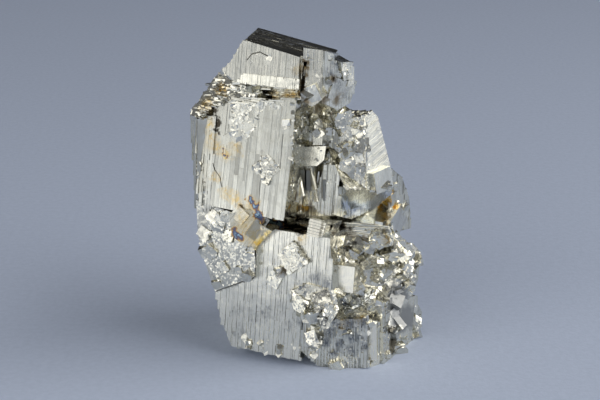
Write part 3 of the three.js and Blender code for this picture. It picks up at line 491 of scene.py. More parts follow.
def groove(points, width, depth, seed=0, su=(1, 0, 0)):
    """a narrow cut along a line of the picture frame, its walls painted dark as painted shade"""
    r = np.random.default_rng(seed)
    for (x0, y0), (x1, y1) in zip(points[:-1], points[1:]):
        a, b = hit(x0, y0), hit(x1, y1)
        if a is None or b is None:
            continue
        p, q, n = a[0], b[0], a[1] + b[1]
        n /= np.linalg.norm(n)
        d = q - p
        ln = np.linalg.norm(d)
        if ln < .05 or ln > 12:
            continue
        d /= ln
        c = np.cross(d, n)
        c /= np.linalg.norm(c)
        n = np.cross(c, d)
        w = width * r.uniform(.7, 1.3)
        m = np.column_stack([c, d, n])
        v, f = CUBE
        x = v * np.array([w, ln * 1.04, depth * 2])
        x[:, 0] *= np.where(v[:, 2] > 0, 1.4, .5)
        add(x @ m.T + (p + q) / 2, f, c, 1.0, r.random(), 1.0, True)


# ---------------------------------------------------------------- surface detail
# upright striations of the wide faces
FINE = dict(width=(.22, 1.1), cover=.985, rise=(.06, .012), slope=.35, terrace=.03, bevel=(.012, .035))
WORN = dict(width=(.2, .9), cover=.96, rise=(.06, .03), slope=1.1, terrace=.05, bevel=(.015, .06))
ROUGH = dict(width=(.18, .7), cover=.9, rise=(.07, .06), slope=2.4, terrace=.06)
striate("crown", 101, length=(3, 12), ground_shade=.25, shade_tone=-.4, tonevar=-.4, endgap=(.1, .01, .04), **FINE)
striate("crown_band", 102, length=(2, 5), **{**FINE, "lineate": .25, "rise": (.05, .01), "terrace": .015})
striate("crown_mid", 116, length=(2, 8), ground_shade=.2, shade_tone=-.5, endgap=(0, .02, .04), **WORN)
striate("main", 103, length=(3, 16), ground_shade=.2, tonevar=-.55, lineate=.32, gap=(.02, .07), skip=([(213, 106), (222, 109), (220, 139), (214, 139)],), **FINE)
striate("left_facet", 104, length=(1.5, 7), pitch=2.2, **WORN)
striate("left_edge", 105, length=(2, 9), pitch=2, **WORN)
striate("lower", 106, length=(1.6, 7.0), pitch=2.3, shade_tone=-.55, tonevar=-.3, ground_shade=.3, gap=(.02, .07), endgap=(.2, .02, .1), **{**FINE, "slope": .7})
striate("prism_a", 107, length=(2, 8), **WORN)
striate("prism_b", 108, length=(1.5, 5), **WORN)
striate("right_cube", 109, theta=104, length=(1.5, 7), ground_shade=.45, lineate=.4, **{**FINE, "width": (.2, .9)})
striate("right_under", 118, theta=15, length=(2, 6), ground_shade=.2, lineate=.25, **FINE)
striate("bright_plate", 110, length=(2, 6), shade_tone=-.9, ground_shade=.4, **FINE)
striate("foot_front", 111, length=(0.6, 3.0), pitch=4, shade_tone=-.25, ground_shade=.5, kind=2.0, **ROUGH)
striate("foot_strip", 112, length=(1, 5), **WORN)
striate("recess", 113, length=(2, 9), **ROUGH)
# the strip facing right is painted darker and the one facing left lighter: painted shade and light
striate("strip_a", 121, length=(3, 9), shade_tone=.6, **{**WORN, "width": (.2, .6)})
striate("strip_b", 122, length=(3, 9), shade_tone=-.6, **{**WORN, "width": (.2, .5)})
striate("cleft_cube", 114, theta=90, length=(1, 4), shade_tone=-.95, **WORN)
striate("cleft_floor", 119, theta=90, length=(1.5, 7), width=(.2, .5), cover=.9, rise=(.12, .1), slope=6)
striate("right_back", 115, length=(1, 5), **WORN)
striate("left_crystal", 123, theta=-35, length=(1.5, 5), shade_tone=.15, lineate=.15, **FINE)
# the crown's top is painted dark: painted shade in place of the dark room it reflects
striate("crown_top", 120, theta=-8, length=(1, 6), kind=1.0, shade_tone=.95, ground_shade=.95, tonevar=.75, **{**WORN, "slope": 1.2})
for k, nm in enumerate(("back_wide", "back_upper", "back_low", "back_foot", "back_right", "left_side", "back_crown")):
    striate(nm, 130 + k, theta=(0, 90, 0, 8, 0, 0, 90)[k], length=(2, 10), **WORN)

# thin stacked plates on the shoulder and under the crown
plates(231, [(222, 71), (238, 83), (262, 92), (244, 100), (214, 106), (196, 117), (191, 113), (204, 97), (213, 80)], 120, (.8, 3.4), (.8, 2.0), (.18, .5), -28, 18, 40, (.0, .55))
plates(232, [(190, 113), (214, 108), (214, 120), (192, 121)], 26, (.8, 2.6), (.8, 1.6), (.15, .35), -35, 6, 18, (.0, .4))
plates(233, [(258, 90), (298, 91), (298, 100), (240, 104), (236, 98)], 44, (1.2, 6.0), (.8, 1.6), (.14, .32), -20, 6, 10, (.0, .5))
plates(234, [(236, 84), (262, 89), (262, 97), (238, 96)], 18, (.8, 2.5), (.8, 1.6), (.15, .4), -20, 10, 20, (.0, .4))

# rough, granular parts
CLEAR += [[(336, 264), (355, 266), (354, 292), (342, 292), (335, 282)], [(309, 220), (328, 222), (323, 239), (308, 234)], [(398, 292), (413, 298), (414, 322), (402, 330), (396, 312)]]
FLAT = [CUBE, edge_cut(1), edge_cut(3), chipped(4), chipped(6), cut_cube(.14)]
druse(201, [(222, 71), (238, 83), (262, 92), (244, 100), (214, 106), (196, 117), (191, 113), (204, 97), (213, 80)], 70, .5, 1.5, 30, (.1, .35), flat=(.4, .9))
druse(202, [(197, 206), (230, 213), (232, 238), (256, 250), (255, 277), (216, 291), (206, 262), (199, 236)], 760, .2, .8, 12, (.03, .17), flat=(.25, .6), shapes=FLAT, lean=4, kind=2.0)
striate("crown_right", 124, length=(1.5, 6), ground_shade=.2, endgap=(0, .02, .04), **{**WORN, "slope": 2})
druse(214, [(302, 52), (345, 55), (353, 64), (355, 90), (338, 106), (302, 99)], 44, .25, 1.1, 16, (.03, .16), flat=(.2, .5), shapes=FLAT)
druse(219, [(342, 54), (353, 62), (355, 84), (349, 84), (345, 64)], 20, .4, 1.4, 26, (.05, .25), flat=(.3, .7), shapes=FLAT)
druse(220, [(232, 107), (247, 106), (249, 128), (240, 138), (232, 130)], 120, .25, .9, 26, (.06, .28), flat=(.3, .6), shapes=FLAT, kind=2.0)
druse(221, [(249, 103), (266, 101), (262, 113), (250, 112)], 34, .25, .9, 22, (.05, .22), flat=(.3, .6), shapes=FLAT, kind=2.0)
druse(261, [(222, 100), (262, 99), (258, 130), (242, 142), (228, 140)], 18, 1.3, 2.8, 12, (.02, .1), flat=(.2, .4), shapes=FLAT, kind=0.0)
druse(262, [(228, 100), (262, 99), (256, 128), (240, 142), (230, 138)], 80, .5, 1.7, 34, (.05, .3), flat=(.3, .7), shapes=FLAT, kind=2.0)
druse(222, [(195, 158), (207, 158), (209, 212), (199, 206)], 70, .3, 1.0, 16, (.03, .16), flat=(.2, .5), shapes=FLAT)
druse(204, [(298, 104), (345, 110), (345, 128), (327, 140), (300, 140)], 60, .4, 1.8, 22, (.06, .3), flat=(.3, .8))
druse(205, [(341, 121), (363, 118), (366, 188), (346, 188), (340, 165)], 60, .6, 2.2, 24, (.06, .3), flat=(.3, .8), lean=5)
druse(225, [(341, 112), (366, 106), (370, 140), (368, 188), (346, 188), (338, 150)], 300, .25, .9, 26, (.06, .3), flat=(.3, .7), shapes=FLAT, kind=2.0)
druse(226, [(222, 101), (300, 97), (301, 107), (222, 110)], 70, .3, 1.1, 22, (.04, .25), flat=(.3, .6), shapes=FLAT, kind=2.0)
# the negative shade tone of these druses paints them lighter: painted light
druse(206, [(335, 241), (398, 234), (411, 246), (413, 292), (398, 300), (362, 318), (336, 292)], 300, .35, 2.2, 24, (.05, .32), flat=(.3, .9), lean=3, shade_tone=-.35)
druse(260, [(336, 292), (362, 290), (384, 300), (380, 316), (345, 316)], 150, .3, 1.3, 25, (.08, .35), lean=4, shade_tone=-.4)
druse(207, [(384, 303), (413, 298), (421, 312), (417, 345), (404, 358), (386, 362)], 60, .4, 2.2, 20, (.05, .25), flat=(.3, .7))
druse(208, [(304, 322), (366, 318), (382, 324), (382, 364), (345, 368), (304, 354)], 150, .25, 1.1, 28, (.05, .3), shade_tone=-.4)
druse(209, [(290, 292), (306, 285), (334, 291), (338, 312), (331, 322), (303, 322)], 260, .25, 1.1, 24, (.05, .25), flat=(.3, .7), shapes=FLAT, kind=2.0)
druse(210, [(226, 330), (300, 346), (300, 360), (233, 345)], 70, .4, 1.3, 25, (.05, .3))
druse(211, [(398, 241), (420, 252), (417, 280), (412, 296), (398, 299)], 60, .6, 2.2, 35, (.06, .35), shade_tone=-.3)
druse(212, [(254, 168), (266, 154), (279, 168), (266, 183)], 110, .3, 1.2, 36, (.1, .4), flat=(.4, .9), kind=2.0)
druse(213, [(294, 102), (304, 104), (300, 190), (289, 214), (286, 214)], 100, .4, 1.4, 30, (.08, .35))
druse(215, [(278, 256), (294, 240), (311, 256), (296, 275)], 130, .3, 1.2, 20, (.04, .25), flat=(.3, .7), shapes=FLAT, kind=2.0)
druse(223, [(266, 262), (281, 258), (292, 272), (280, 284), (262, 276)], 36, .3, 1.2, 18, (.04, .2), flat=(.3, .7), shapes=FLAT)
druse(216, [(356, 226), (394, 226), (398, 246), (358, 246)], 60, .5, 1.8, 35, (.06, .35), shade_tone=-.3)
druse(217, [(248, 62), (252, 54), (262, 52), (270, 57), (268, 64), (256, 66)], 16, .4, 1.3, 14, (.04, .15), flat=(.2, .5), shapes=FLAT)
druse(218, [(386, 188), (398, 190), (398, 212), (384, 214)], 20, .5, 1.5, 35, (.06, .35))
for k, (z, c) in enumerate((([(335, 241), (398, 234), (411, 246), (413, 292), (398, 300), (362, 318), (336, 292)], 200), ([(384, 303), (413, 298), (421, 312), (417, 345), (404, 358), (386, 362)], 70),
                            ([(298, 104), (345, 110), (366, 120), (366, 188), (327, 188), (300, 140)], 120), ([(222, 71), (262, 92), (214, 106), (191, 113)], 90), ([(226, 330), (300, 346), (382, 360), (345, 368), (233, 345)], 70))):
    druse(250 + k, z, c, .18, .5, 60, (.2, .6))
druse(227, [(243, 40), (262, 42), (300, 49), (345, 56), (345, 51), (300, 44), (262, 37)], 36, .2, .6, 40, (.05, .2))
druse(228, [(318, 343), (332, 343), (334, 362), (320, 362)], 60, .25, .8, 45, (.1, .35), shade_tone=.35)
druse(229, [(349, 108), (374, 107), (374, 114), (350, 117)], 46, .3, 1.1, 34, (.05, .25), flat=(.3, .7), shapes=FLAT, kind=2.0)
# thin upright bars in the recess; the last number of each paints it lighter (below 0) or darker (above 0) as painted
# highlight and shade
for px, py, yaw, tl, w_, h_, o_, tn in ((303, 182, -20, 2, 1.0, 5.4, .4, .92), (309.5, 180, 12, 4, 1.5, 4.4, .4, .95), (298.5, 190, -24, 3, .5, 5.2, .35, -.8), (306, 184, -18, 3, .45, 5.0, .5, -.9), (318, 184, 8, 2, .5, 5.6, .3, -.6), (300.5, 184, 33, 20, .4, 5.2, .5, -1), (312.5, 179, 35, 22, .5, 4.6, .5, -1), (314.5, 190, 33, 18, .4, 5.0, .45, -.9), (306, 196, 34, 22, .35, 3.4, .5, -1), (324, 190, 14, 2, .5, 4.6, .3, .7)):
    h = hit(px, py)
    u, v, m = basis(yaw, tl)
    crystal(h[0], m, np.column_stack([u, v, m]), np.array([w_, h_, 1.0]), o_, CUBE, .7, 0.0, tn)
# the bright upright plate beside the lower face, painted lighter as a painted highlight
h = hit(345.5, 278)
u, v, m = basis(-16, 8, -2)
crystal(h[0], m, np.column_stack([u, v, m]), np.array([4.1, 5.6, 3.2]), 1.0, CUBE, .9, 0.0, -.8)
# the low corner of the cube on the right
for px, py, w_, h_, o_ in ((380.5, 180, 5.6, 4.6, .9),):
    h = hit(px, py)
    u, v, m = basis(48, 8, 4)
    crystal(h[0], m, np.column_stack([u, v, m]), np.array([w_, h_, 3.0]), o_, CUBE, .6, 0.0, 0.0)
druse(263, [(366, 184), (391, 182), (390, 192), (368, 194)], 40, .3, 1.0, 25, (.05, .25), flat=(.3, .7), shapes=FLAT, kind=2.0)
# smooth plates at the foot, most painted lighter as painted highlights
for px, py, yaw, tl, rl, w_, h_, o_, tn, kd in ((404.5, 316, 34, 4, -7, 3.6, 9.0, .9, .1, 0.0), (371.5, 341, -12, 5, 2, 2.4, 8.2, .5, -1.0, 0.0), (313, 337, -22, 12, 28, 2.4, 2.9, .8, -.95, 2.0), (337, 366, -14, 4, 30, 2.2, 2.0, .6, -.2, 0.0)):
    h = hit(px, py)
    u, v, m = basis(yaw, tl, rl)
    crystal(h[0], m, np.column_stack([u, v, m]), np.array([w_, h_, 2.4]), o_, CUBE if h_ > 4 else chipped(3), .75, kd, tn)
# facets of the small crystal above the rough patch, and the striped cube in the gap, whose bars are painted lighter as
# painted highlights
for px, py, yaw, tl, rl, sz, o_, tn in ((257, 227, 6, 4, -36, (2.6, 5.4, 1.2), .3, .1), (240, 215, -20, 15, -36, (3.4, 2.8, 1.2), .25, -.1)):
    h = hit(px, py)
    u, v, m = basis(yaw, tl, rl)
    crystal(h[0], m, np.column_stack([u, v, m]), np.array(sz), o_, CUBE, .6, 0.0, tn)
h = hit(315.5, 228)
u, v, m = basis(-20, 14, -8)
for k in range(6):
    w = -1.5 + .6 * k
    crystal(h[0] + v * w, m, np.column_stack([u, v, m]), np.array([2.7 - .12 * (k % 2), .52, 2.4]), .9 + .1 * ((k * 7) % 3), CUBE, .9, 0.0, -1.0)
# a bright chip high on the wide face, painted lighter as a painted highlight
h = hit(286.5, 122.5)
u, v, m = basis(-22, 2, 8)
crystal(h[0], m, np.column_stack([u, v, m]), np.array([1.7, 1.3, .8]), .3, chipped(4), .8, 0.0, -.9)
cover_rest(240, 700, .6, 3.0, 38, (.06, .35))

# cracks and gaps
pit(392, 342, (3.2, 6.6, 3.4), -10, 1.4)
pit(383, 300, (1.6, 2.6, 2.0), 30, .7)
pit(348, 247, (1.8, 1.6, 1.6), 0, .6)
groove([(213, 163), (215, 170), (220, 177), (222, 187)], .2, .35, 1)
groove([(247, 60), (252, 54), (260, 52), (268, 56)], .22, .2, 2)
for k, (x0, y0, x1, y1) in enumerate(((262, 150, 259, 205), (283, 134, 280, 170))):
    ys = np.linspace(y0, y1, 6)
    groove([(x0 + (x1 - x0) * (y - y0) / (y1 - y0), y) for y in ys], .1, .16, 10 + k)
groove([(303, 48), (306, 56), (305, 66), (303.5, 76), (302, 86), (301, 96)], .75, .6, 20)
groove([(215, 292), (228, 287), (242, 282), (254, 278)], .3, .35, 21)
groove([(255, 250), (256, 262), (255, 277)], .3, .3, 22)

# the raised steps at the front of the crown's top slope back into it
p0, n0, _ = hit(285, 43)
BOX = [(0, 1, 2), (0, 2, 3), (4, 6, 5), (4, 7, 6), (0, 4, 5), (0, 5, 1), (0, 3, 7), (0, 7, 4), (3, 2, 6), (3, 6, 7), (1, 5, 6), (1, 6, 2)]
UP = np.array([0, 0, 1.0])


def outward(v):
    v = np.array(v)
    vol = sum(v[a] @ np.cross(v[b], v[c]) for a, b, c in BOX)
    return v, [f if vol > 0 else f[::-1] for f in BOX]


def on_top(g, lift):
    return g + UP * ((p0 - g) @ n0 / n0[2] + lift)


STEPS = ()
for (xl, yl), (xr, yr), xm in (((303.5, 49), (322, 51), 312), ((321.5, 51), (334, 54), 328)):
    low, high = [], []
    m, n, _ = hit(xm, 69)
    up = UP - n * n[2]
    up /= np.linalg.norm(up)
    side = np.cross(up, n)
    back = -np.array([n[0], n[1], 0.0])
    back /= np.linalg.norm(back)
    for px, py in ((xl, yl), (xr, yr)):
        q = m + side * (px - xm) / 4.7
        a, b = q + up * (69 - py) / 4.7, q + up * .5 - n * .4
        e = on_top(q + back * 8.0, 0)
        low += [a - n * .02, b, e - UP * .8, e + UP * .05]
        a2 = a + (a - e) / np.linalg.norm(a - e) * 1.5
        high += [a2 + UP * 8, a2 + UP * .02, e + UP * .08, e + UP * 8]
    if not STEPS:
        STEPS = m + side * (xl - xm) / 4.7, side, back
    v, f = outward(low)
    add(v, f, np.array([1.0, 0, 0]), 2.0, .6, -.1)
    v, f = outward(high)
    # the faces this cut leaves are painted darker as painted shade
    CUTS.append((v, f, np.array([1.0, 0, 0]), 1.0, .5, .4))
# and beside them nothing stands above the top
for q, side, back, reach, ahead in ((STEPS[0], STEPS[1], STEPS[2], (-.02, -17.0), 6.0), (q, side, back, (.02, 7.0), 3.0)):
    ends = [q + side * s + back * k for s in reach for k in (-ahead, 8.0)]
    high = []
    for j in (0, 2):
        high += [on_top(ends[j], 8), on_top(ends[j], .13), on_top(ends[j + 1], .13), on_top(ends[j + 1], 8)]
    v, f = outward(high)
    # the faces this cut leaves are painted darker as painted shade
    CUTS.append((v, f, np.array([1.0, 0, 0]), 1.0, .5, .9))

# ---------------------------------------------------------------- one closed mesh
MATS = [bpy.data.materials.new("pyrite_faces"), bpy.data.materials.new("pyrite_grains"), bpy.data.materials.new("pyrite_crumpled")]


# the shading attribute carries painted light (below 0) and painted shade (above 0) per face
def mesh_of(name, v, f, su, kind, rnd, painted_shading=0.0):
    me = bpy.data.meshes.new(name)
    me.from_pydata([tuple(p) for p in v], [], f)
    n = len(me.polygons)
    for m in MATS:
        me.materials.append(m)
    me.polygons.foreach_set("material_index", np.broadcast_to(np.round(np.asarray(kind)).astype(np.int32), (n,)).ravel())
    a = me.attributes.new("su", "FLOAT_VECTOR", "FACE")
    a.data.foreach_set("vector", np.broadcast_to(np.asarray(su, np.float32), (n, 3)).ravel())
    a = me.attributes.new("kind", "FLOAT", "FACE")
    a.data.foreach_set("value", np.broadcast_to(np.asarray(kind, np.float32), (n,)).ravel())
    a = me.attributes.new("painted_shading", "FLOAT", "FACE")
    a.data.foreach_set("value", np.broadcast_to(np.asarray(painted_shading, np.float32), (n,)).ravel())
    a = me.attributes.new("rnd", "FLOAT", "FACE")
    a.data.foreach_set("value", np.broadcast_to(np.asarray(rnd, np.float32), (n,)).ravel())
    return me


def joined(obj, group, how):
    col = bpy.data.collections.new("operands")
    objs = []
    for i, (v, f, su, kind, rnd, shade_tone) in enumerate(group):
        o = bpy.data.objects.new("op%05d" % i, mesh_of("op%05d" % i, v, f, su, kind, rnd, shade_tone))
        col.objects.link(o)
        objs.append(o)
    bpy.context.scene.collection.children.link(col)
    mod = obj.modifiers.new("join", "BOOLEAN")
    mod.operation = how
    mod.operand_type = "COLLECTION"
    mod.solver = "MANIFOLD"
    mod.collection = col
    dg = bpy.context.evaluated_depsgraph_get()
    me = bpy.data.meshes.new_from_object(obj.evaluated_get(dg), depsgraph=dg)
    obj.modifiers.clear()
    old = obj.data
    obj.data = me
    bpy.data.meshes.remove(old)
    bpy.data.batch_remove(objs + [o.data for o in objs])
    bpy.data.collections.remove(col)


bsu = np.zeros((len(BT), 3))
bkind = np.ones(len(BT))
brnd = np.zeros(len(BT))
b_painted_shading = np.zeros(len(BT))
rng = np.random.default_rng(5)
for i in range(len(BT)):
    u, v, m, name = frame_at(BN[i], i, BC[i])
    th = math.radians(FACES[name].get("theta", 0.0)) if name else 0.0
    bsu[i] = math.cos(th) * u + math.sin(th) * v
    bkind[i] = 1.0 if not name else 2.0 if name in CRUMPLED else 0.0
    # faces under striations get the painted groove shade of their face
    b_painted_shading[i] = STRIATED.get(name, 0.0)
    brnd[i] = (sum(name.encode()) % 97) / 97.0 if name else (abs(math.sin(BN[i] @ np.array([12.9, 78.2, 37.7]))) * 43.7) % 1.0

skin = bpy.data.objects.new("pyrite_crystals", mesh_of("pyrite_crystals", BV, [tuple(int(k) for k in t) for t in BT], bsu, bkind, brnd, b_painted_shading))
bpy.context.scene.collection.objects.link(skin)
joined(skin, PARTS, "UNION")
v, f = CUBE
CUTS.append((v * np.array([300, 300, 40.0]) + np.array([0, 0, -20.0]), f, np.array([1.0, 0, 0]), 1.0, 0.5, 0.0))
joined(skin, CUTS, "DIFFERENCE")

# keep the one connected body
bm = bmesh.new()
bm.from_mesh(skin.data)
bm.verts.ensure_lookup_table()
group = [-1] * len(bm.verts)
sizes = []
for start in range(len(bm.verts)):
    if group[start] >= 0:
        continue
    g, todo, count = len(sizes), [start], 0
    group[start] = g
    while todo:
        k = todo.pop()
        count += 1
        for e in bm.verts[k].link_edges:
            o = e.other_vert(bm.verts[k]).index
            if group[o] < 0:
                group[o] = g
                todo.append(o)
    sizes.append(count)
main_g = int(np.argmax(sizes))
drop = [bm.verts[k] for k in range(len(group)) if group[k] != main_g]
if drop:
    bmesh.ops.delete(bm, geom=drop, context="VERTS")
bmesh.ops.scale(bm, vec=(MM, MM, MM), verts=bm.verts)
open_edges = sum(1 for e in bm.edges if not e.is_manifold)
bm.to_mesh(skin.data)
bm.free()
skin.data.polygons.foreach_set("use_smooth", np.zeros(len(skin.data.polygons), bool))
skin.data.update()
print("parts", len(PARTS), "cuts", len(CUTS), "loose groups", len(sizes) - 1, "faces", len(skin.data.polygons), "triangles", sum(len(p.vertices) - 2 for p in skin.data.polygons), "open edges", open_edges)

# ---------------------------------------------------------------- material
nt = N = LK = None


def node(kind, **kw):
    n = N(kind)
    for k, val in kw.items():
        setattr(n, k, val)
    return n


def math_n(op, a, b=None, c=None, clamp=False):
    n = node("ShaderNodeMath", operation=op, use_clamp=clamp)
    for i, x in enumerate((a, b, c)):
        if x is None:
            continue
        if isinstance(x, (int, float)):
            n.inputs[i].default_value = x
        else:
            LK(x, n.inputs[i])
    return n.outputs[0]


def vmath(op, a, b=None):
    n = node("ShaderNodeVectorMath", operation=op)
    for i, x in enumerate((a, b)):
        if x is None:
            continue
        if isinstance(x, (tuple, list)):
            n.inputs[i].default_value = x
        else:
            LK(x, n.inputs[i])
    return n.outputs["Value"] if op in ("DOT_PRODUCT", "LENGTH", "DISTANCE") else n.outputs["Vector"]


def noise(vec, scale, detail=2.0, rough=.5, dims="3D"):
    n = node("ShaderNodeTexNoise", noise_dimensions=dims)
    n.inputs["Scale"].default_value = scale
    n.inputs["Detail"].default_value = detail
    n.inputs["Roughness"].default_value = rough
    LK(vec, n.inputs["Vector"])
    return n.outputs["Fac"]


def mapr(x, a, b, c, d):
    n = node("ShaderNodeMapRange")
    for i, q in enumerate((a, b, c, d)):
        n.inputs[i + 1].default_value = q
    LK(x, n.inputs[0])
    return n.outputs[0]


def mix(fac, a, b, how="MIX"):
    n = node("ShaderNodeMix", data_type="RGBA", blend_type=how)
    LK(fac, n.inputs[0]) if not isinstance(fac, (int, float)) else setattr(n.inputs[0], "default_value", fac)
    for i, x in ((6, a), (7, b)):
        if isinstance(x, tuple):
            n.inputs[i].default_value = (*x, 1)
        else:
            LK(x, n.inputs[i])
    return n.outputs[2]


def spot(px, py, r, k=1.0):
    """place on the surface, radius in mm and strength of a spot, which marks stains, painted shade and painted
    reflection
    """
    h = hit(px, py)
    return tuple(float(x) * MM for x in h[0]), r * MM, k


# brown tarnish spots, and in the cleft and along the crown's seam brown painted shade
BROWN_AND_SHADE = [spot(*q) for q in ((304, 50, .8, 1.2), (306, 56, .9, 1.3), (305.5, 62, .9, 1.3), (305, 68, .9, 1.2), (304, 74, .9, 1.2), (303, 82, .9, 1.1), (302, 90, 1.2), (306, 100, 1.8), (324, 98, 1.8, .9), (338, 98, 2.0), (334, 80, 1.4), (290, 209, 1.6, 1.2), (298, 209, 1.7, 1.2), (306, 209, 1.5, 1.1), (294, 203, 1.2, .8), (286, 227, 3.0, 1.5), (299, 229, 3.0, 1.6), (334, 230, 2.0, .7), (345, 227, 1.8, .7),
                            (352, 236, 1.6, .6), (366, 238, 1.4, .6), (389, 204, 1.1), (394, 194, .9), (283, 271, 1.2), (240, 207, 1.3), (379, 263, .9, .8), (386, 291, .8, .8),
                            (371, 303, .9, .8), (318, 108, 1.6), (331, 115, 1.6), (346, 246, .9), (296, 196, 1.4), (284, 97, 1.6))]
AMBER = [spot(*q) for q in ((391, 193, 1.3), (386, 201, 1.5), (395, 206, 1.2), (381, 205, 1.1), (303, 225, 1.0, 1.3), (308, 224, 1.0, 1.3), (289, 209, .8, 1.2), (297, 208, .8, 1.2), (304, 209, .8, 1.2), (258, 243, 1.0))]
GOLD = [spot(*q) for q in ((209, 124, 1.6), (211, 136, 1.8), (216, 147, 2.2), (226, 153, 2.4), (235, 147, 2.0), (216, 176, 1.6), (226, 194, 2.0), (238, 201, 2.2),
                           (252, 204, 2.2), (262, 241, 2.4), (256, 246, 2.0), (246, 222, 3.0), (255, 234, 3.0), (237, 236, 2.6), (388, 196, 2.2), (396, 206, 1.8), (302, 239, 1.6), (344, 322, 1.8), (360, 318, 1.6), (300, 70, 1.8), (386, 240, 1.6), (270, 96, 2.2), (290, 97, 2.2), (206, 104, 2.4), (222, 90, 2.4))]
FILM = [spot(*q) for q in ((251.5, 200, .95), (254, 206, 1.15), (257, 212, 1.0), (235, 233, 1.3), (240, 236, 1.3), (233, 236, 1.0), (259, 217, 1.4, 1.3), (265, 219, 1.8, 1.3), (272, 222, 1.9, 1.3), (280, 224, 1.7, 1.2),
                           (222, 150, .55), (227, 154, .6))]
YELLOW = [spot(*q) for q in ((257, 246, 1.2), (262, 241, 1.4), (267, 235, 1.3), (271, 231, 1.0), (208, 126, .7), (224, 156, .6))]
# rougher spots, also painted grey: painted shade over the bright reflection of these facets
DULL_AND_SHADE = [spot(*q) for q in ((201, 221, 3.0, .3), (207, 214, 2.4, .26), (199, 231, 2.4, .3), (397, 295, 3.4, 1.3), (402, 305, 3.6, 1.3), (405, 316, 3.6, 1.3), (400, 324, 3.2, 1.3), (399, 318, 2.6, 1.6), (397, 312, 2.4, 1.6), (398, 300, 2.4, 1.6))]
DARK = [spot(*q) for q in ((348, 306, 1.2, .7), (362, 309, 1.2, .7), (326, 340, 1.8), (340, 343, 1.8), (352, 350, 1.8), (334, 352, 1.6), (268, 308, 1.1, .8), (264, 312, 1.0, .8), (298, 320, 1.4, .7), (290, 326, 1.4, .6), (322, 322, 2.4), (336, 321, 2.6), (350, 321, 2.6), (362, 323, 2.2), (330, 333, 2.0), (346, 331, 2.2), (356, 338, 2.0), (366, 345, 2.0), (318, 338, 1.6), 
                           (238, 312, 2.2, .32), (252, 318, 2.4, .32), (268, 314, 2.0, .32), (283, 307, 1.8, .32), (302, 286, 1.6, .6), (318, 279, 2.0, .6), (326, 284, 2.2, .7), (240, 330, 2.0, .32), (331, 74, 2.6, .6), (340, 84, 3.0, .6), (336, 62, 2.2, .6), (346, 96, 2.0, .6))]
# painted shade: near black in the cleft and in the slot at the left of the wide face
GAP_SHADE = [spot(*q) for q in ((292, 217, 1.3, 1.4), (300, 217, 1.4, 1.4), (308, 217, 1.2, 1.3), (215, 111, .9, 1.2), (216, 117, 1.0, 1.2), (217, 123, 1.0, 1.2), (218, 129, .9, 1.2), (219, 134, .8, 1.1), (285, 223, 2.4, 1.5), (293, 226, 2.6, 1.6), (300, 227, 1.9, 1.6), (331, 226, 1.4, .9), (341, 226, 1.4, .9), (351, 228, 1.2, .8), (288, 229, 1.5, 1.6), (296, 230.5, 1.6, 1.6), (303, 232, 1.5, 1.5), (262, 221, 1.6, 1.2), (305, 229, 1.8, 1.5), (270, 222, 1.4, 1.1), (278, 223, 1.8, 1.3))]
PITTED = [spot(*q) for q in ((391, 330, 1.5, 1.3), (392, 336, 1.8, 1.3), (393, 343, 1.9, 1.3), (392, 350, 1.7, 1.3), (348, 247, 1.3, 1.2), (383, 300, 1.2, 1.2), (376, 313, 1.0, 1.1), (353, 243, 1.0, 1.1))]
# painted reflection: the blue-grey of the floor painted onto these faces
FLOOR_REFLECTION = [spot(*q) for q in ((372, 205, 3.2), (384, 196, 3.0), (360, 208, 3.0), (350, 206, 2.4), (345, 300, 2.6, .45), (355, 306, 2.6, .45), (365, 300, 2.6, .45), (375, 306, 2.4, .45), (350, 312, 2.2, .45))]
OLIVE = [spot(*q) for q in ((246, 222, 3.6), (252, 212, 3.0), (240, 228, 3.0), (256, 230, 3.0), (198, 130, 3.0), (199, 148, 3.0), (200, 166, 2.8), (202, 182, 2.6))]


